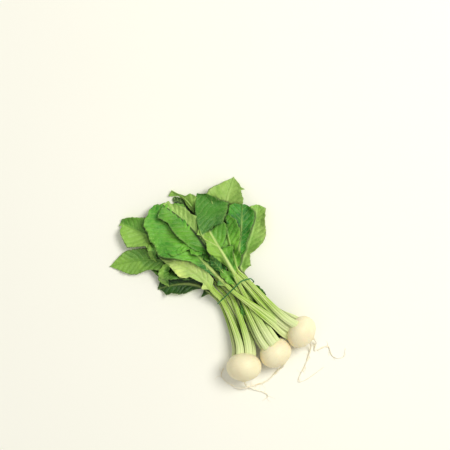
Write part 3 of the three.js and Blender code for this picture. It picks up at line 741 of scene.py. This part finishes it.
def waved(under, leaf, grid):  # heights with the blade's puffs, ruffles, waves, crinkles, bends and curls
    form, seed = marginForm, leaf["seed"]
    across, out, along, margin, free = grid.across, grid.out, grid.along, grid.margin, grid.free
    isRight = smoothStep(across, -1.5, 1.5)
    atMargin = smoothStep(out, 5, 14) * free
    puff = (0.5 - 0.5 * np.cos(2 * math.pi * grid.phase)) * free
    ruffle = ripple(along / form["ruffleLength"] + 9 * isRight, seed + 50) * margin**4 * atMargin
    wave = ripple(along / form["waveLength"] + 5 * isRight, seed + 60, (1.0, 1.7)) * margin**2 * atMargin
    alongA, acrossA, alongB, acrossB = form["crinkleLengths"]
    crinkle = ripple(along / alongA + across / acrossA, seed + 70)
    crinkle = crinkle * ripple(along / alongB - across / acrossB, seed + 80) * free
    alongA, acrossA = form["bendLengths"]
    bend = 0.5 + 0.5 * ripple(along / alongA + across / acrossA, seed + 40, (0.8, 1.5))
    bend = bend * smoothStep(out, 3, 18) * free
    curl = np.array(leaf["curl"])[grid.right][None, :] * smoothStep(margin, 0.5, 1.0) * atMargin
    curl = curl * (0.75 + 0.35 * ripple(along / form["curlLength"] + 3 * isRight, seed + 90))
    under = under + form["puff"] * puff + form["ruffle"] * np.maximum(ruffle, -0.3)
    under = under + form["crinkle"] * crinkle + form["wave"] * np.maximum(wave, -0.4)
    return under + form["bend"] * bend + curl


def lifted(under, leaf, course, grid, planTop):  # and off whatever lies below
    beyond = (course.stations > course.tieAt + 3)[:, None]
    share = (1 - course.stalkness)[:, None] if leaf["ribOver"] else grid.free
    need = np.maximum(pile.under(planTop) + marginForm["clear"] - under, 0) * share * beyond
    for _ in range(7 if leaf["ribOver"] else 3):
        need = np.maximum(need, soften(need, 1.6, 1.0))
    return under + soften(need, 1.2, 0.8)


def stalkSection(course, q, under):  # a ribbed oval with a channel on top: two heights, and how far across
    form = stalkForm
    angle = math.pi * (q + 1) / 2
    grooved = (smoothStep(course.stations, 6, 30) * course.stalkness)[:, None]
    channel = 1 - form["channel"] * np.exp(-((q / form["channelWide"]) ** 2))[None, :] * grooved
    between = (1 - np.abs(np.sin(form["ridges"] * angle)) ** 0.6)[None, :]
    ridge = 1 - form["ridgeDepth"] * between * (0.3 + 0.7 * grooved)
    width, height = (part[:, None] for part in course.size)
    rise = np.sin(angle)[None, :] ** 0.85
    middle = under[:, form["top"] // 2][:, None]
    top = middle + height / 2 * (1 + rise * channel * ridge)
    low = middle + height / 2 * (1 - rise * ridge)
    return top, low, -np.cos(angle)[None, :] * width / 2 * ridge


def bladeInto(bm, plan, top, low, maps, under=0.0, stations=None):
    # A closed sheet or stalk over a grid of plan points, with a leaf's own maps. maps holds across, along,
    # phase, ribness and margin. under is 1 where the pale underside is up. A stalk has its stations too.
    def ring(upper, lower):  # the top from left to right, then the underside back
        return np.concatenate([upper, lower[:, -2:0:-1]], 1)

    xy = inFrame(plan)
    rings = np.concatenate([ring(xy, xy), ring(top, low)[..., None] * mm], -1)
    across, along, phase, ribness, margin = (ring(part, part) for part in maps)
    underness = ring(0 * low + under, 0 * low + 1 - under)
    underness[:, [0, plan.shape[1] - 1]] = under
    flat = 0 * underness
    if stations is None:
        stalk = [flat + 0.5, flat + 150, flat + 0.03]  # away from the crown and between two grooves
    else:
        turn = np.linspace(0, 1, rings.shape[1], endpoint=False)[None, :] + flat
        stalk = [np.minimum(turn, 1 - turn) * 2, stations[:, None] + flat, turn]
    tubeInto(bm, rings, {
        "leafMap": np.stack([across, along, phase], -1),
        "stalkMap": np.stack(stalk, -1),
        "leafSide": np.stack([ribness, underness, margin], -1),
    })


def buildLeaf(name, leaf, onlyStalk=False):
    course = leafCourse(leaf)
    grid = bladeGrid(leaf, course)
    stalkness = course.stalkness[:, None]
    planTop = inPlace(course, grid.across, grid.forward)

    # Heights: the CAD leaf's underside, smoothed, then the blade's own form, lifted off the leaves below
    sampled = planTop.copy()
    isStalk = course.stalkness > 0.5
    sampled[isStalk] = course.centre[isStalk][:, None]
    under = soften(fillBeside(undersideOf(solidTree(name), inFrame(sampled))), 3.0, 1.4)
    under = lifted(waved(under, leaf, grid), leaf, course, grid, planTop)

    # Sections: the stalk's ribbed oval turns into the rib and the thin blade
    stalkTop, stalkLow, stalkAcross = stalkSection(course, grid.q, under)
    width, height = (part[:, None] for part in course.size)
    thin = stalkForm["bladeThick"]
    fromRib = grid.out / (width * stalkForm["ribWide"])
    ribShape = np.sqrt(np.clip(1 - fromRib**2, 0, 1)) * smoothStep(fromRib, 1.15, 0.5)
    ribUp = mix(leafDefaults["ribUp"], leaf["ribUp"], smoothStep(course.blade, 0.05, 0.3))[:, None]
    ribTop = np.maximum(height - thin, 0.5) * ribShape * ribUp
    thinned = thin * (1 - stalkForm["thinner"] * grid.margin**3)
    top = mix(under + thinned + ribTop, stalkTop, stalkness)
    low = mix(under - stalkForm["ribSink"] * ribShape, stalkLow, stalkness)
    across = mix(grid.across, stalkAcross, stalkness)
    plan = inPlace(course, across + course.aside[:, None], grid.forward * (1 - stalkness))

    covering = course.stations > course.tieAt - stalkForm["coverFrom"]
    if onlyStalk:
        covering = covering & (course.stations < course.neckAt - stalkForm["coverTo"])
    pile.cover(plan[covering], top[covering], 1)
    if onlyStalk:
        return
    relief.cover(plan, top, 2)
    ribness = np.maximum(stalkness, smoothStep(fromRib, 1.25, 0.55))
    maps = (across, grid.along, grid.phase, ribness, grid.margin * (1 - stalkness))
    bm = bmesh.new()
    bladeInto(bm, plan, top, low, maps, 1 if leaf["flipped"] else 0, course.stations)
    material = leafMaterial(name, leaf["tints"], leaf["look"], leaf["seed"])
    addFoliage(name + "_fine", bm, material, name)
    if name == fold["leaf"]:
        buildFold(leaf, course, material)


# A big lobe of the widest leaf is folded back over its own rib. Its free edge stands clear of the blade.
fold = {
    "leaf": "leaf_right_1", "depth": 17, "inward": (-0.3, 0.95), "rise": 8.0, "sink": 0.5, "thick": 0.45,
    "edge": [(-109, 46), (-95, 51), (-86, 47), (-68, 56), (-64, 58), (-62, 51), (-53, 48), (-43, 51),
             (-36, 50)],
    "stations": 150, "across": 26, "tooth": 1.1, "toothGap": 5.5, "puff": 0.9,
}


def alongAndAcross(course, plan):  # where plan points lie on a leaf's own path
    path, flatPlan = course.path, plan.reshape(-1, 2)
    parts = np.array_split(flatPlan, 24)
    nearest = np.concatenate([np.linalg.norm(part[:, None] - path, axis=2).argmin(1) for part in parts])
    tangent = unitRows(np.gradient(path, axis=0))
    away = flatPlan - path[nearest]
    across = away[:, 0] * tangent[nearest, 1] - away[:, 1] * tangent[nearest, 0]
    along = lengthsOf(path)[nearest] - course.neckAt
    return along.reshape(plan.shape[:-1]), across.reshape(plan.shape[:-1])


def buildFold(leaf, course, material):
    corners = np.array(fold["edge"], float)
    at = lengthsOf(corners)
    u = np.linspace(0, at[-1], fold["stations"])
    v = np.linspace(0, 1, fold["across"])[None, :]
    edge = blur(pointsAt(corners, at, u), 1.6, 0)
    inward = np.array(fold["inward"])
    tooth = fold["tooth"] * (u / fold["toothGap"] + 0.4 * ripple(u / 7, 3)) % fold["tooth"]
    plan = edge[:, None] - inward * tooth[:, None, None]
    plan = plan + inward * (v[..., None] * (fold["depth"] + tooth)[:, None, None])
    base = soften(pile.under(plan), 3.0, 1.5)
    ends = smoothStep(u, 0, 14) * smoothStep(u, at[-1], at[-1] - 10)
    rise = (fold["rise"] * (0.75 + 0.35 * ripple(u / 9, 11)) * ends)[:, None]
    low = base + 0.3 + rise * (1 - v) ** 1.3 - (fold["sink"] + 0.6) * smoothStep(v, 0.6, 1)
    along, across = alongAndAcross(course, plan)
    phase = veinPhase(along, across, baseLook["veinGap"], leaf["seed"])
    low = low + fold["puff"] * (0.5 - 0.5 * np.cos(2 * math.pi * phase)) * smoothStep(v, 0.9, 0.4)
    margin = np.clip(1 - v * 1.6 + 0 * low, 0, 1)
    bm = bmesh.new()
    bladeInto(bm, plan, low + fold["thick"], low, (across, along, phase, 0 * low, margin))
    addFoliage(fold["leaf"] + "_fold", bm, material)
    for heights in (pile, relief):
        heights.cover(plan, low + fold["thick"], 1)


for name, leaf in leaves.items():
    for upper, other in leaves.items():
        if other["stalkUnder"] == name:
            buildLeaf(upper, other, onlyStalk=True)
    buildLeaf(name, leaf)
    print("leaf", name)


# Young leaves and loose lobes of the stalks. Each follows a way of (x, y, z) in plan millimetres. Where there
# is no z the lobe lies on what is already there. half is its half width, bladeFrom the share that is only
# stalk, and like the leaf whose finish it has. Its darkening, from 0 to 1, is painted shade for lobes in
# shadow.
youngForm = {"step": 0.8, "points": 17, "veinGap": 5.0, "ribShow": (0.7, 0.7), "thick": 0.4, "lowest": 0.3}
youngDefaults = {"stalk": 1.2, "bladeFrom": 0, "paintedShade": 0, "above": 0.8}
youngLeaves = {
    "young_right_1": {"way": [(88, -60, 22), (78, -57, 20), (60, -44, 14), (43, -29, 9), (28, -13, 5),
                              (15, 0, 3)],
                      "half": 6.5, "stalk": 4.5, "bladeFrom": 0.51, "wave": 1.5, "like": "leaf_right_3",
                      "paintedShade": 0.75},
    "young_right_2": {"way": [(88, -61, 17), (77, -62, 12), (66, -62, 9), (57, -55, 7), (49, -44, 5)],
                      "half": 8, "stalk": 3, "bladeFrom": 0.31, "wave": 2.5, "like": "leaf_left_5",
                      "paintedShade": 0.9},
    "young_right_3": {"way": [(86, -55, 18), (72, -50, 11), (54, -40, 9), (37, -21, 16), (20, -3, 19),
                              (7, 10, 11)],
                      "half": 3.4, "stalk": 3, "bladeFrom": 0.37, "wave": 0.6, "like": "leaf_right_4"},
    "young_left_1": {"way": [(17, -98, 19), (20, -88, 15), (25, -74, 9), (28, -60, 6), (25, -44, 5),
                             (20, -30, 4)],
                     "half": 6.5, "stalk": 3, "bladeFrom": 0.32, "wave": 2, "like": "leaf_left_5",
                     "paintedShade": 0.8},
    "young_left_2": {"way": [(15, -98, 18), (17, -75, 9), (16, -52, 8), (13.5, -39, 16), (12, -28, 19),
                             (9, -17, 17)],
                     "half": 3.4, "stalk": 1.6, "bladeFrom": 0.585, "wave": 1.5, "like": "leaf_middle_5",
                     "paintedShade": 0.6},
    "lobe_right_1": {"way": [(26.3, 7.3, 9), (31.4, 2.4, 11), (37.4, -3.1, 11), (43.8, -10.2, 9)],
                     "half": 4.2, "wave": 1.8, "like": "leaf_middle_5", "paintedShade": 0.5},
    "lobe_right_2": {"way": [(2, 7), (-4, 13), (-11, 19), (-19, 27)], "half": 6.5, "wave": 4.5,
                     "like": "leaf_right_3"},
    "lobe_right_3": {"way": [(-16, 24), (-22, 31), (-28, 38), (-34, 48)],
                     "half": 5.5, "wave": 2.6, "like": "leaf_middle_5", "paintedShade": 0.5, "above": 0.4},
    "lobe_left_3": {"way": [(-49, 99, 0.6), (-62, 114, 0.6), (-76, 125, 0.6), (-89, 131, 0.6)],
                    "half": 7, "stalk": 0.8, "wave": 0.2, "like": "leaf_left_5", "paintedShade": 1},
    "lobe_left_1": {"way": [(-112, 39), (-117, 50), (-120, 65)],
                    "half": 5, "stalk": 1.0, "wave": 3.0, "like": "leaf_left_4"},
    "lobe_left_2": {"way": [(-94, 4), (-101, 15), (-100, 28), (-93, 35)],
                    "half": 7, "wave": 4.0, "like": "leaf_left_4", "paintedShade": 0.3},
}


def youngCourse(leaf):  # points along the middle, 0.8 mm apart, with their heights
    lying = len(leaf["way"][0]) == 2
    path = smoothPath([(*spot, 0)[:3] for spot in leaf["way"]], 20)
    if lying:
        path[:, 2] = blur(pile.under(path[:, :2])[:, None], 4.0, 0)[:, 0] + 0.8
    lengths = lengthsOf(path[:, :2])
    stations = np.linspace(0, lengths[-1], int(lengths[-1] / youngForm["step"]))
    return stations, pointsAt(path, lengths, stations), lying


def youngWidths(leaf, stations, onBlade, blade, seed):  # of the left and the right half
    rounded = np.sqrt(np.clip(1 - np.clip((onBlade - 0.62) / 0.38, 0, 1) ** 2, 0.01, 1))
    widths = []
    for side in (0, 1):
        lobe = 1 + 0.22 * ripple(stations / 3.2, seed + side) + 0.1 * ((stations / 3.4) % 1)
        widths.append(mix(leaf["stalk"] / 2, leaf["half"] * lobe, blade) * rounded)
    return np.stack(widths, 1)


def buildYoung(name, leaf, seed):
    form = youngForm
    stations, centre, lying = youngCourse(leaf)
    share = stations / stations[-1]
    onBlade = (share - leaf["bladeFrom"]) / (1 - leaf["bladeFrom"])
    blade = smoothStep(onBlade, 0, 0.35)
    t = np.linspace(-1, 1, form["points"])
    across = t[None, :] * youngWidths(leaf, stations, onBlade, blade, seed)[:, (t > 0).astype(int)]
    toRight = rightOf(unitRows(np.gradient(centre[:, :2], axis=0)))
    plan = centre[:, None, :2] + toRight[:, None] * across[..., None]
    along = stations[:, None] + 0 * across
    blade = blade[:, None]
    wave = ripple(along / 2.6 + 4 * (across > 0), seed + 7) * np.abs(t) ** 2 * leaf["wave"] * blade
    stalkHeight = leaf["stalk"] * 0.8 * np.sqrt(np.clip(1 - (across / (leaf["stalk"] / 2 + 0.3)) ** 2, 0, 1))
    base = centre[:, None, 2]
    if lying:
        base = pile.under(plan)
        for _ in range(4):
            base = np.maximum(base, soften(base, 2.0, 1.5))
        base = soften(base, 1.5, 1.0) + leaf["above"]
    low = base + np.maximum(wave, -0.8) + 1.2 * np.abs(t)[None, :] ** 2 * blade
    low = np.maximum(low, form["lowest"])
    top = low + (form["thick"] + stalkHeight * (0.35 + 0.65 * (1 - share[:, None])))
    ribness = np.clip(1.3 - np.abs(across) / (leaf["stalk"] / 2), 0, 1) * (1 - 0.75 * blade)
    phase = veinPhase(along, across, form["veinGap"], seed)
    bm = bmesh.new()
    bladeInto(bm, plan, top, low, (across, along, phase, ribness, np.abs(t)[None, :] + 0 * low))
    like = leaves[leaf["like"]]
    look = {**like["look"], "veinGap": form["veinGap"], "ribShow": form["ribShow"]}
    addFoliage(name, bm, leafMaterial(name, like["tints"], look, seed, leaf["paintedShade"]))
    for heights in (pile, relief):
        heights.cover(plan, top, 1)


for seed, (name, leaf) in enumerate(youngLeaves.items(), 60):
    buildYoung(name, {**youngDefaults, **leaf}, seed)
print("young leaves and lobes")


def shadeGaps(spread=2.2, depth=(0.7, 6.0)):  # how deep each point lies below what surrounds it, which paints shade into its colour
    around = Pile()
    around.heights = soften(relief.heights, spread / Pile.cell, spread / Pile.cell)
    for piece in foliage:
        mesh = piece.data
        points = np.empty(3 * len(mesh.vertices))
        mesh.vertices.foreach_get("co", points)
        points = points.reshape(-1, 3)
        shade = smoothStep(around.under(inPlan(points[:, :2])) - points[:, 2] / mm, *depth)
        mesh.attributes.new("gapShade", "FLOAT", "POINT").data.foreach_set("value", shade)


shadeGaps()
print("gaps shaded")

# Bulbs: pale, satin skin with fine rings and pores. skinMap holds the turn round the bulb, the share of the
# way from the crown to the root, and 1 on the roots.
bulbForm = {
    "crownDrop": 12,  # degrees that the crown hangs below the root end
    "flatDepth": 0.5, "fullness": 0.92, "around": 112, "rows": 84,
    "hollow": (1.6, 9), "cone": (1.8, 4),  # depth and spread at the crown, height and spread at the root
    "swell": (0.018, 0.012), "dent": (0.12, 0.1),
}


def skinMaterial():
    material, s, surface = newMaterial("rootSkin", {
        "Subsurface Weight": 0.2, "Subsurface Scale": 0.004, "Subsurface Radius": (1.0, 0.75, 0.45),
        "Specular IOR Level": 0.34,
    })
    turn, fromCrown, onRoot = s.split(s.attribute("skinMap"))
    spot = s.here()
    rings = s.noise(s.vector(s.times(turn, 2.5), s.times(fromCrown, 34.0)), 1.0, 3.0)
    pores = s.node("ShaderNodeTexVoronoi", {"Vector": spot, "Scale": 420.0}).outputs["Distance"]
    sparse = s.times(s.inverse(s.span(pores, 0.06, 0.16)), s.patches(spot, 120.0, 1.0, 0.55, 0.7))
    base = s.blend(s.patches(spot, 24.0, 3.0, 0.35, 0.65), colour(249, 239, 200), colour(243, 232, 192))
    warm = (s.patches(spot, 46.0, 2.0, 0.56, 0.74), 0.5, colour(250, 226, 200))
    ringed = (s.span(rings, 0.56, 0.7), 0.28, colour(222, 206, 158))
    base = s.coats(base, warm, ringed, (sparse, 0.5, colour(196, 172, 120)))
    base = s.blend(s.span(fromCrown, 0.9, 1.0, 0.0, 0.45), base, colour(214, 198, 150))
    base = s.blend(s.span(fromCrown, 0.16, 0.06, 0.0, 0.55), base, colour(206, 210, 140))
    root = s.blend(s.patches(spot, 90.0, 2.0, 0.4, 0.7), colour(252, 246, 226), colour(238, 224, 190))
    base = s.blend(onRoot, base, root)
    height = s.plus(s.times(rings, 0.5), s.times(sparse, -0.7))
    height = s.plus(height, s.times(s.noise(spot, 700.0, 3.0), 0.16))
    s.finish(surface, base, s.plus(s.times(rings, 0.16), 0.4), height, 0.45, 0.0003)
    return material


rootSkin = skinMaterial()
tails = {  # the ways of the tap roots, with a height where one lies over something
    "left": [[(14, -126), (15, -134), (19, -139), (34, -145), (45, -149), (48, -153), (41, -159)]],
    "middle": [[(67, -103), (69, -108), (64, -114), (47, -131), (36, -135), (27, -137, 3), (15, -141, 6),
                (5, -141, 3), (-5, -137), (-15, -130), (-19, -122), (-16, -113)]],
    "right": [[(104, -66), (112, -69), (117, -77), (115, -87), (122, -85), (134, -82), (140, -94),
               (149, -99), (157, -95), (159, -85)],
              [(103, -69), (108, -76), (109, -85), (105, -100), (92, -132), (106, -127), (128, -111)]],
}
tailForm = {
    "base": 1.9, "end": 0.38, "clear": 0.1, "inBulb": 0.8, "flare": 2.2, "sides": 12, "sway": 0.5,
    "hairs": 9, "hairLength": (4, 13), "hairThick": (0.28, 0.07), "hairSides": 6,
}


def bulbPoint(bulb, angle, turn):  # along the bulb's own axis, crown at angle 0
    radius = bulb["width"] / 2 * np.sin(angle) ** bulbForm["fullness"]
    depth, spread = bulbForm["hollow"] if angle < math.pi / 2 else bulbForm["cone"]
    height = bulb["length"] / 2 * math.cos(angle) - depth * math.exp(-((radius / spread) ** 2))
    two, three = bulbForm["swell"]
    swell = 1 + two * math.sin(2 * turn + bulb["width"]) + three * math.sin(3 * turn + bulb["length"])
    five, nine = bulbForm["dent"]
    dent = five * math.sin(5 * turn + 3 * angle) + nine * math.sin(9 * turn - 4 * angle + bulb["width"])
    out = radius * swell + dent * math.sin(angle)
    return Vector((out * math.cos(turn), height, out * math.sin(turn)))


def rootInto(bm, path, radii, sides):  # a round root along a path in plan millimetres
    path = np.concatenate([inFrame(path[:, :2]), path[:, 2:] * mm], 1)
    radii = np.asarray(radii, float).reshape(len(path), -1, 1) * mm
    tangent = unitRows(np.gradient(path, axis=0))
    first = np.cross(tangent, np.array([0.0, 0.0, 1.0]))
    first /= np.maximum(np.linalg.norm(first, axis=1), 1e-6)[:, None]
    second = np.cross(first, tangent)
    angle = np.linspace(0, 2 * math.pi, sides, endpoint=False)[None, :, None]
    rings = path[:, None] + radii * (np.cos(angle) * first[:, None] + np.sin(angle) * second[:, None])
    tubeInto(bm, rings, {"skinMap": 0 * rings + np.array([0, 0.5, 1])})


def tapRootInto(bm, route, leave, seed):  # leave is the height at which it comes out of the bulb
    form = tailForm
    points = []
    for i, (x, y, *over) in enumerate(route):
        thickness = mix(form["base"], form["end"], i / len(route)) + form["clear"]
        z = max(thickness, leave * math.exp(-((i / 1.5) ** 2)))
        points.append((x, y, z + (over[0] if over else 0)))
    path = smoothPath(points, 14)
    share = lengthsOf(path) / lengthsOf(path)[-1]
    radii = mix(form["base"], form["end"], share**0.55) + form["flare"] * np.exp(-share * 22)
    radii = radii * (1 + 0.07 * ripple(share * 60, seed))
    for axis, more in enumerate((5, 9)):
        path[:, axis] += form["sway"] * ripple(share * 26, seed + more) * smoothStep(share, 0.1, 0.4)
    path[:, 2] = np.maximum(path[:, 2], radii + form["clear"])
    rootInto(bm, path, radii, form["sides"])
    return path, radii


def hairsInto(bm, path, radii, seed):  # short side roots that lie on the table beside the tap root
    form = tailForm
    rng = random.Random(seed)
    steps = np.linspace(0, 1, 9)
    thick, thinnest = form["hairThick"]
    for _ in range(form["hairs"]):
        at = rng.randrange(len(path) // 5, len(path) - 8)
        direction = math.atan2(*(path[at + 1] - path[at])[1::-1])
        direction = direction + rng.choice((-1, 1)) * rng.uniform(0.5, 1.2)
        length, bow = rng.uniform(*form["hairLength"]), rng.uniform(-0.9, 0.9)
        angle = direction + bow * steps
        spot = path[at] + np.stack([np.cos(angle) * steps, np.sin(angle) * steps, 0 * steps], 1) * length
        thin = mix(min(thick, radii[at] * 0.6), thinnest, steps)
        spot[:, 2] = np.maximum(mix(spot[:, 2], thin + 0.05, smoothStep(steps, 0, 0.5)), thin + 0.05)
        rootInto(bm, spot, thin, form["hairSides"])


def bulbInto(bm, bulb):  # returns the height of its middle
    heading, drop = math.radians(bulb["heading"]), math.radians(bulbForm["crownDrop"])
    level = math.cos(drop)
    crown = Vector((-math.cos(heading) * level, -math.sin(heading) * level, -math.sin(drop)))
    turnTo = Vector((0, 1, 0)).rotation_difference(crown)
    skinMap = bm.verts.layers.float_vector.new("skinMap")
    ball = {"u_segments": bulbForm["around"], "v_segments": bulbForm["rows"], "radius": 1}
    made = bmesh.ops.create_uvsphere(bm, **ball)["verts"]
    for vert in made:
        angle, turn = math.acos(max(-1, min(1, vert.co.z))), math.atan2(vert.co.y, vert.co.x)
        vert.co = turnTo @ bulbPoint(bulb, angle, turn)
        vert[skinMap] = (turn, angle / math.pi, 0)
    rest = -min(vert.co.z for vert in made) - bulbForm["flatDepth"]
    for vert in made:
        x, y = inFrame((vert.co.x + bulb["middle"][0], vert.co.y + bulb["middle"][1]))
        z = vert.co.z + rest
        vert.co = (x, y, max(z, 0.02 * math.exp(z)) * mm if z < 0.3 else z * mm)  # flat where it rests
    bmesh.ops.recalc_face_normals(bm, faces=bm.faces)
    return rest


def buildTurnip(side, bulb, seed):
    bm = bmesh.new()
    rest = bulbInto(bm, bulb)
    leave = rest + math.sin(math.radians(bulbForm["crownDrop"])) * bulb["length"] / 2 * tailForm["inBulb"]
    for number, route in enumerate(tails[side]):
        path, radii = tapRootInto(bm, route, leave, seed + number)
        hairsInto(bm, path, radii, seed * 10 + number)
    addPiece("turnip_" + side + "_fine", bm, rootSkin, "turnip_" + side)


for seed, (side, bulb) in enumerate(bulbs.items(), 40):
    buildTurnip(side, bulb, seed)
    print("turnip", side)

# The tie: a thin round elastic, on the line of the CAD node's own middle
elastic = {
    "radius": 0.9, "sides": 20, "stations": 360,
    "skew": -2.2, "skewRight": 6.5, "skewLow": 8.0,  # millimetres along the stalks, towards the bulbs
    "alongStalks": (0.695, -0.719),  # in the plan
}


def elasticMaterial():
    material, s, surface = newMaterial("elastic", {"Specular IOR Level": 0.5, "Sheen Weight": 0.1})
    spot = s.here()
    grain = s.noise(spot, 900.0, 3.0)
    base = s.blend(s.patches(spot, 60.0, 2.0, 0.35, 0.65), colour(26, 104, 44), colour(48, 140, 60))
    base = s.coats(base, (s.span(grain, 0.55, 0.75), 0.35, colour(112, 160, 104)))
    s.finish(surface, base, s.plus(s.times(grain, 0.25), 0.36), grain, 0.4, 0.0002)
    return material


def tieLoop():  # the middle of the CAD node's loop, even and closed, in frame millimetres
    points = np.array([vert.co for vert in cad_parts["tie"].data.vertices])
    middle = (points.min(0) + points.max(0)) / 2
    flatTurn = np.linalg.svd(points - points.mean(0), full_matrices=False)[2]
    turn = np.arctan2((points - middle) @ flatTurn[1], (points - middle) @ flatTurn[0])
    edges = np.linspace(-math.pi, math.pi, 61)
    near = [(turn >= lowEdge) & (turn < highEdge) for lowEdge, highEdge in zip(edges, edges[1:])]
    loop = np.array([points[here].mean(0) for here in near if here.any()])
    for _ in range(3):
        loop = (np.roll(loop, 1, 0) + 2 * loop + np.roll(loop, -1, 0)) / 4
    path = smoothPath(np.vstack([loop, loop[:3]]) / mm, 12)[: len(loop) * 12]
    closed = np.vstack([path, path[:1]])
    lengths = lengthsOf(closed)
    even = np.linspace(0, lengths[-1], elastic["stations"], endpoint=False)
    return pointsAt(closed, lengths, even), even


def skewed(path):  # the loop sits askew: its right end runs down towards the bulbs
    turned = tieAngle + lean
    s = (path[:, :2] - path.mean(0)[:2]) @ np.array([math.cos(turned), math.sin(turned)])
    s = s / np.abs(s).max()
    up = smoothStep(path[:, 2], path[:, 2].min(), path[:, 2].max())
    shift = elastic["skew"] + elastic["skewRight"] * smoothStep(s, 0.4, 0.95)
    shift = shift + elastic["skewLow"] * (1 - up) * smoothStep(s, -0.6, 0.9)
    path[:, :2] += shift[:, None] * np.array([math.sin(turned), -math.cos(turned)])
    plan = inPlan(path[:, :2] * mm)
    way = np.array(elastic["alongStalks"])
    ground = np.max([pile.under(plan + step * way) for step in (-0.8, 0, 0.8)], axis=0)
    raised = np.maximum(path[:, 2], ground + elastic["radius"] - 0.1)
    path[:, 2] = np.where(up > 0.6, raised, path[:, 2])
    path[:, 2] = np.maximum(blur(path[:, 2:], 3.0, 0)[:, 0], elastic["radius"] + 0.05)
    return path


def buildTie():
    path, at = tieLoop()
    path = skewed(path)
    tangent = unitRows(np.roll(path, -1, 0) - np.roll(path, 1, 0))
    plane = np.linalg.svd(path - path.mean(0))[2][2]
    outward = np.cross(tangent, plane)
    angle = np.linspace(0, 2 * math.pi, elastic["sides"], endpoint=False)[None, :]
    at = at[:, None]
    uneven = 1 + 0.05 * np.cos(2 * angle + 0.02 * at) + 0.012 * np.sin(at * 2.1)
    rings = path[:, None] + elastic["radius"] * uneven[..., None] * (
        np.cos(angle)[..., None] * outward[:, None] + np.sin(angle)[..., None] * plane)
    bm = bmesh.new()
    tubeInto(bm, np.concatenate([rings, rings[:1]]) * mm, {})
    addPiece("tie_fine", bm, elasticMaterial(), "tie")


buildTie()
print("tie")

# Floor, light and camera
studio = {
    "elevation": 88, "distance": 2.2, "sensor": 36, "aimHeight": 0.015,
    "nudge": (0.4, 0.5),  # of the picture's middle, in its pixels
    "sky": 0.45, "backdrop": 0.5, "skyColour": (1.0, 0.995, 0.97, 1.0),
    # azimuth from the picture's own, elevation, distance, size, power and colour
    "lights": {"key": (120, 57, 3.0, 1.5, 63, (1.0, 0.98, 0.94)), "fill": (-60, 60, 3.0, 2.4, 6, (1, 1, 1))},
}


def addFloor():
    material, s, surface = newMaterial("palePaper", {"Roughness": 0.9, "Specular IOR Level": 0.1})
    base = s.blend(s.noise(s.here(), 3.0, 2.0), colour(252, 251, 240), colour(250, 249, 237))
    s.feed(surface["Base Color"], base)
    bm = bmesh.new()
    bmesh.ops.create_grid(bm, x_segments=2, y_segments=2, size=3)
    bmesh.ops.translate(bm, verts=bm.verts, vec=(0, 0, -0.0001))
    newPiece("floor", bm, material, smooth=False)


def lookFrom(azimuth, elevation):  # the direction back to a camera or light
    a, e = math.radians(azimuth), math.radians(elevation)
    return Vector((math.sin(a) * math.cos(e), -math.cos(a) * math.cos(e), math.sin(e)))


def addCamera():
    middle = photo["side"] / 2
    across, down = studio["nudge"]
    aimed = ((middle + across - photo["tieAt"][0]) * photo["mmPerPixel"],
             (photo["tieAt"][1] - middle - down) * photo["mmPerPixel"])
    target = Vector((*inFrame(aimed), studio["aimHeight"]))
    back = lookFrom(math.degrees(lean), studio["elevation"])
    right = Vector((math.cos(lean), math.sin(lean), 0))
    data = bpy.data.cameras.new("camera")
    data.sensor_width = studio["sensor"]
    data.lens = studio["sensor"] * studio["distance"] / (photo["side"] * photo["mmPerPixel"] * mm)
    camera = bpy.data.objects.new("camera", data)
    bpy.context.scene.collection.objects.link(camera)
    turned = Matrix((right, back.cross(right), back)).transposed().to_4x4()
    camera.matrix_world = Matrix.Translation(target + back * studio["distance"]) @ turned
    bpy.context.scene.camera = camera


def addLight(name, azimuth, elevation, distance, size, power, tint):
    data = bpy.data.lights.new(name, "AREA")
    data.shape, data.size, data.energy, data.color = "DISK", size, power, tint
    light = bpy.data.objects.new(name, data)
    bpy.context.scene.collection.objects.link(light)
    back = lookFrom(math.degrees(lean) + azimuth, elevation)
    turned = back.to_track_quat("Z", "Y").to_matrix().to_4x4()
    light.matrix_world = Matrix.Translation(back * distance) @ turned


def addSky():
    world = bpy.data.worlds.new("studio")
    world.use_nodes = True
    sky = Shader(world.node_tree)
    seen = sky.node("ShaderNodeLightPath").outputs["Is Camera Ray"]
    background = world.node_tree.nodes["Background"].inputs
    background["Color"].default_value = studio["skyColour"]
    sky.feed(background["Strength"], sky.plus(studio["sky"], sky.times(seen, studio["backdrop"])))
    bpy.context.scene.world = world


addFloor()
addCamera()
for name, light in studio["lights"].items():
    addLight(name, *light)
addSky()
bpy.context.scene.view_settings.view_transform = "Standard"
print("studio ready")

bpy.context.view_layer.update()
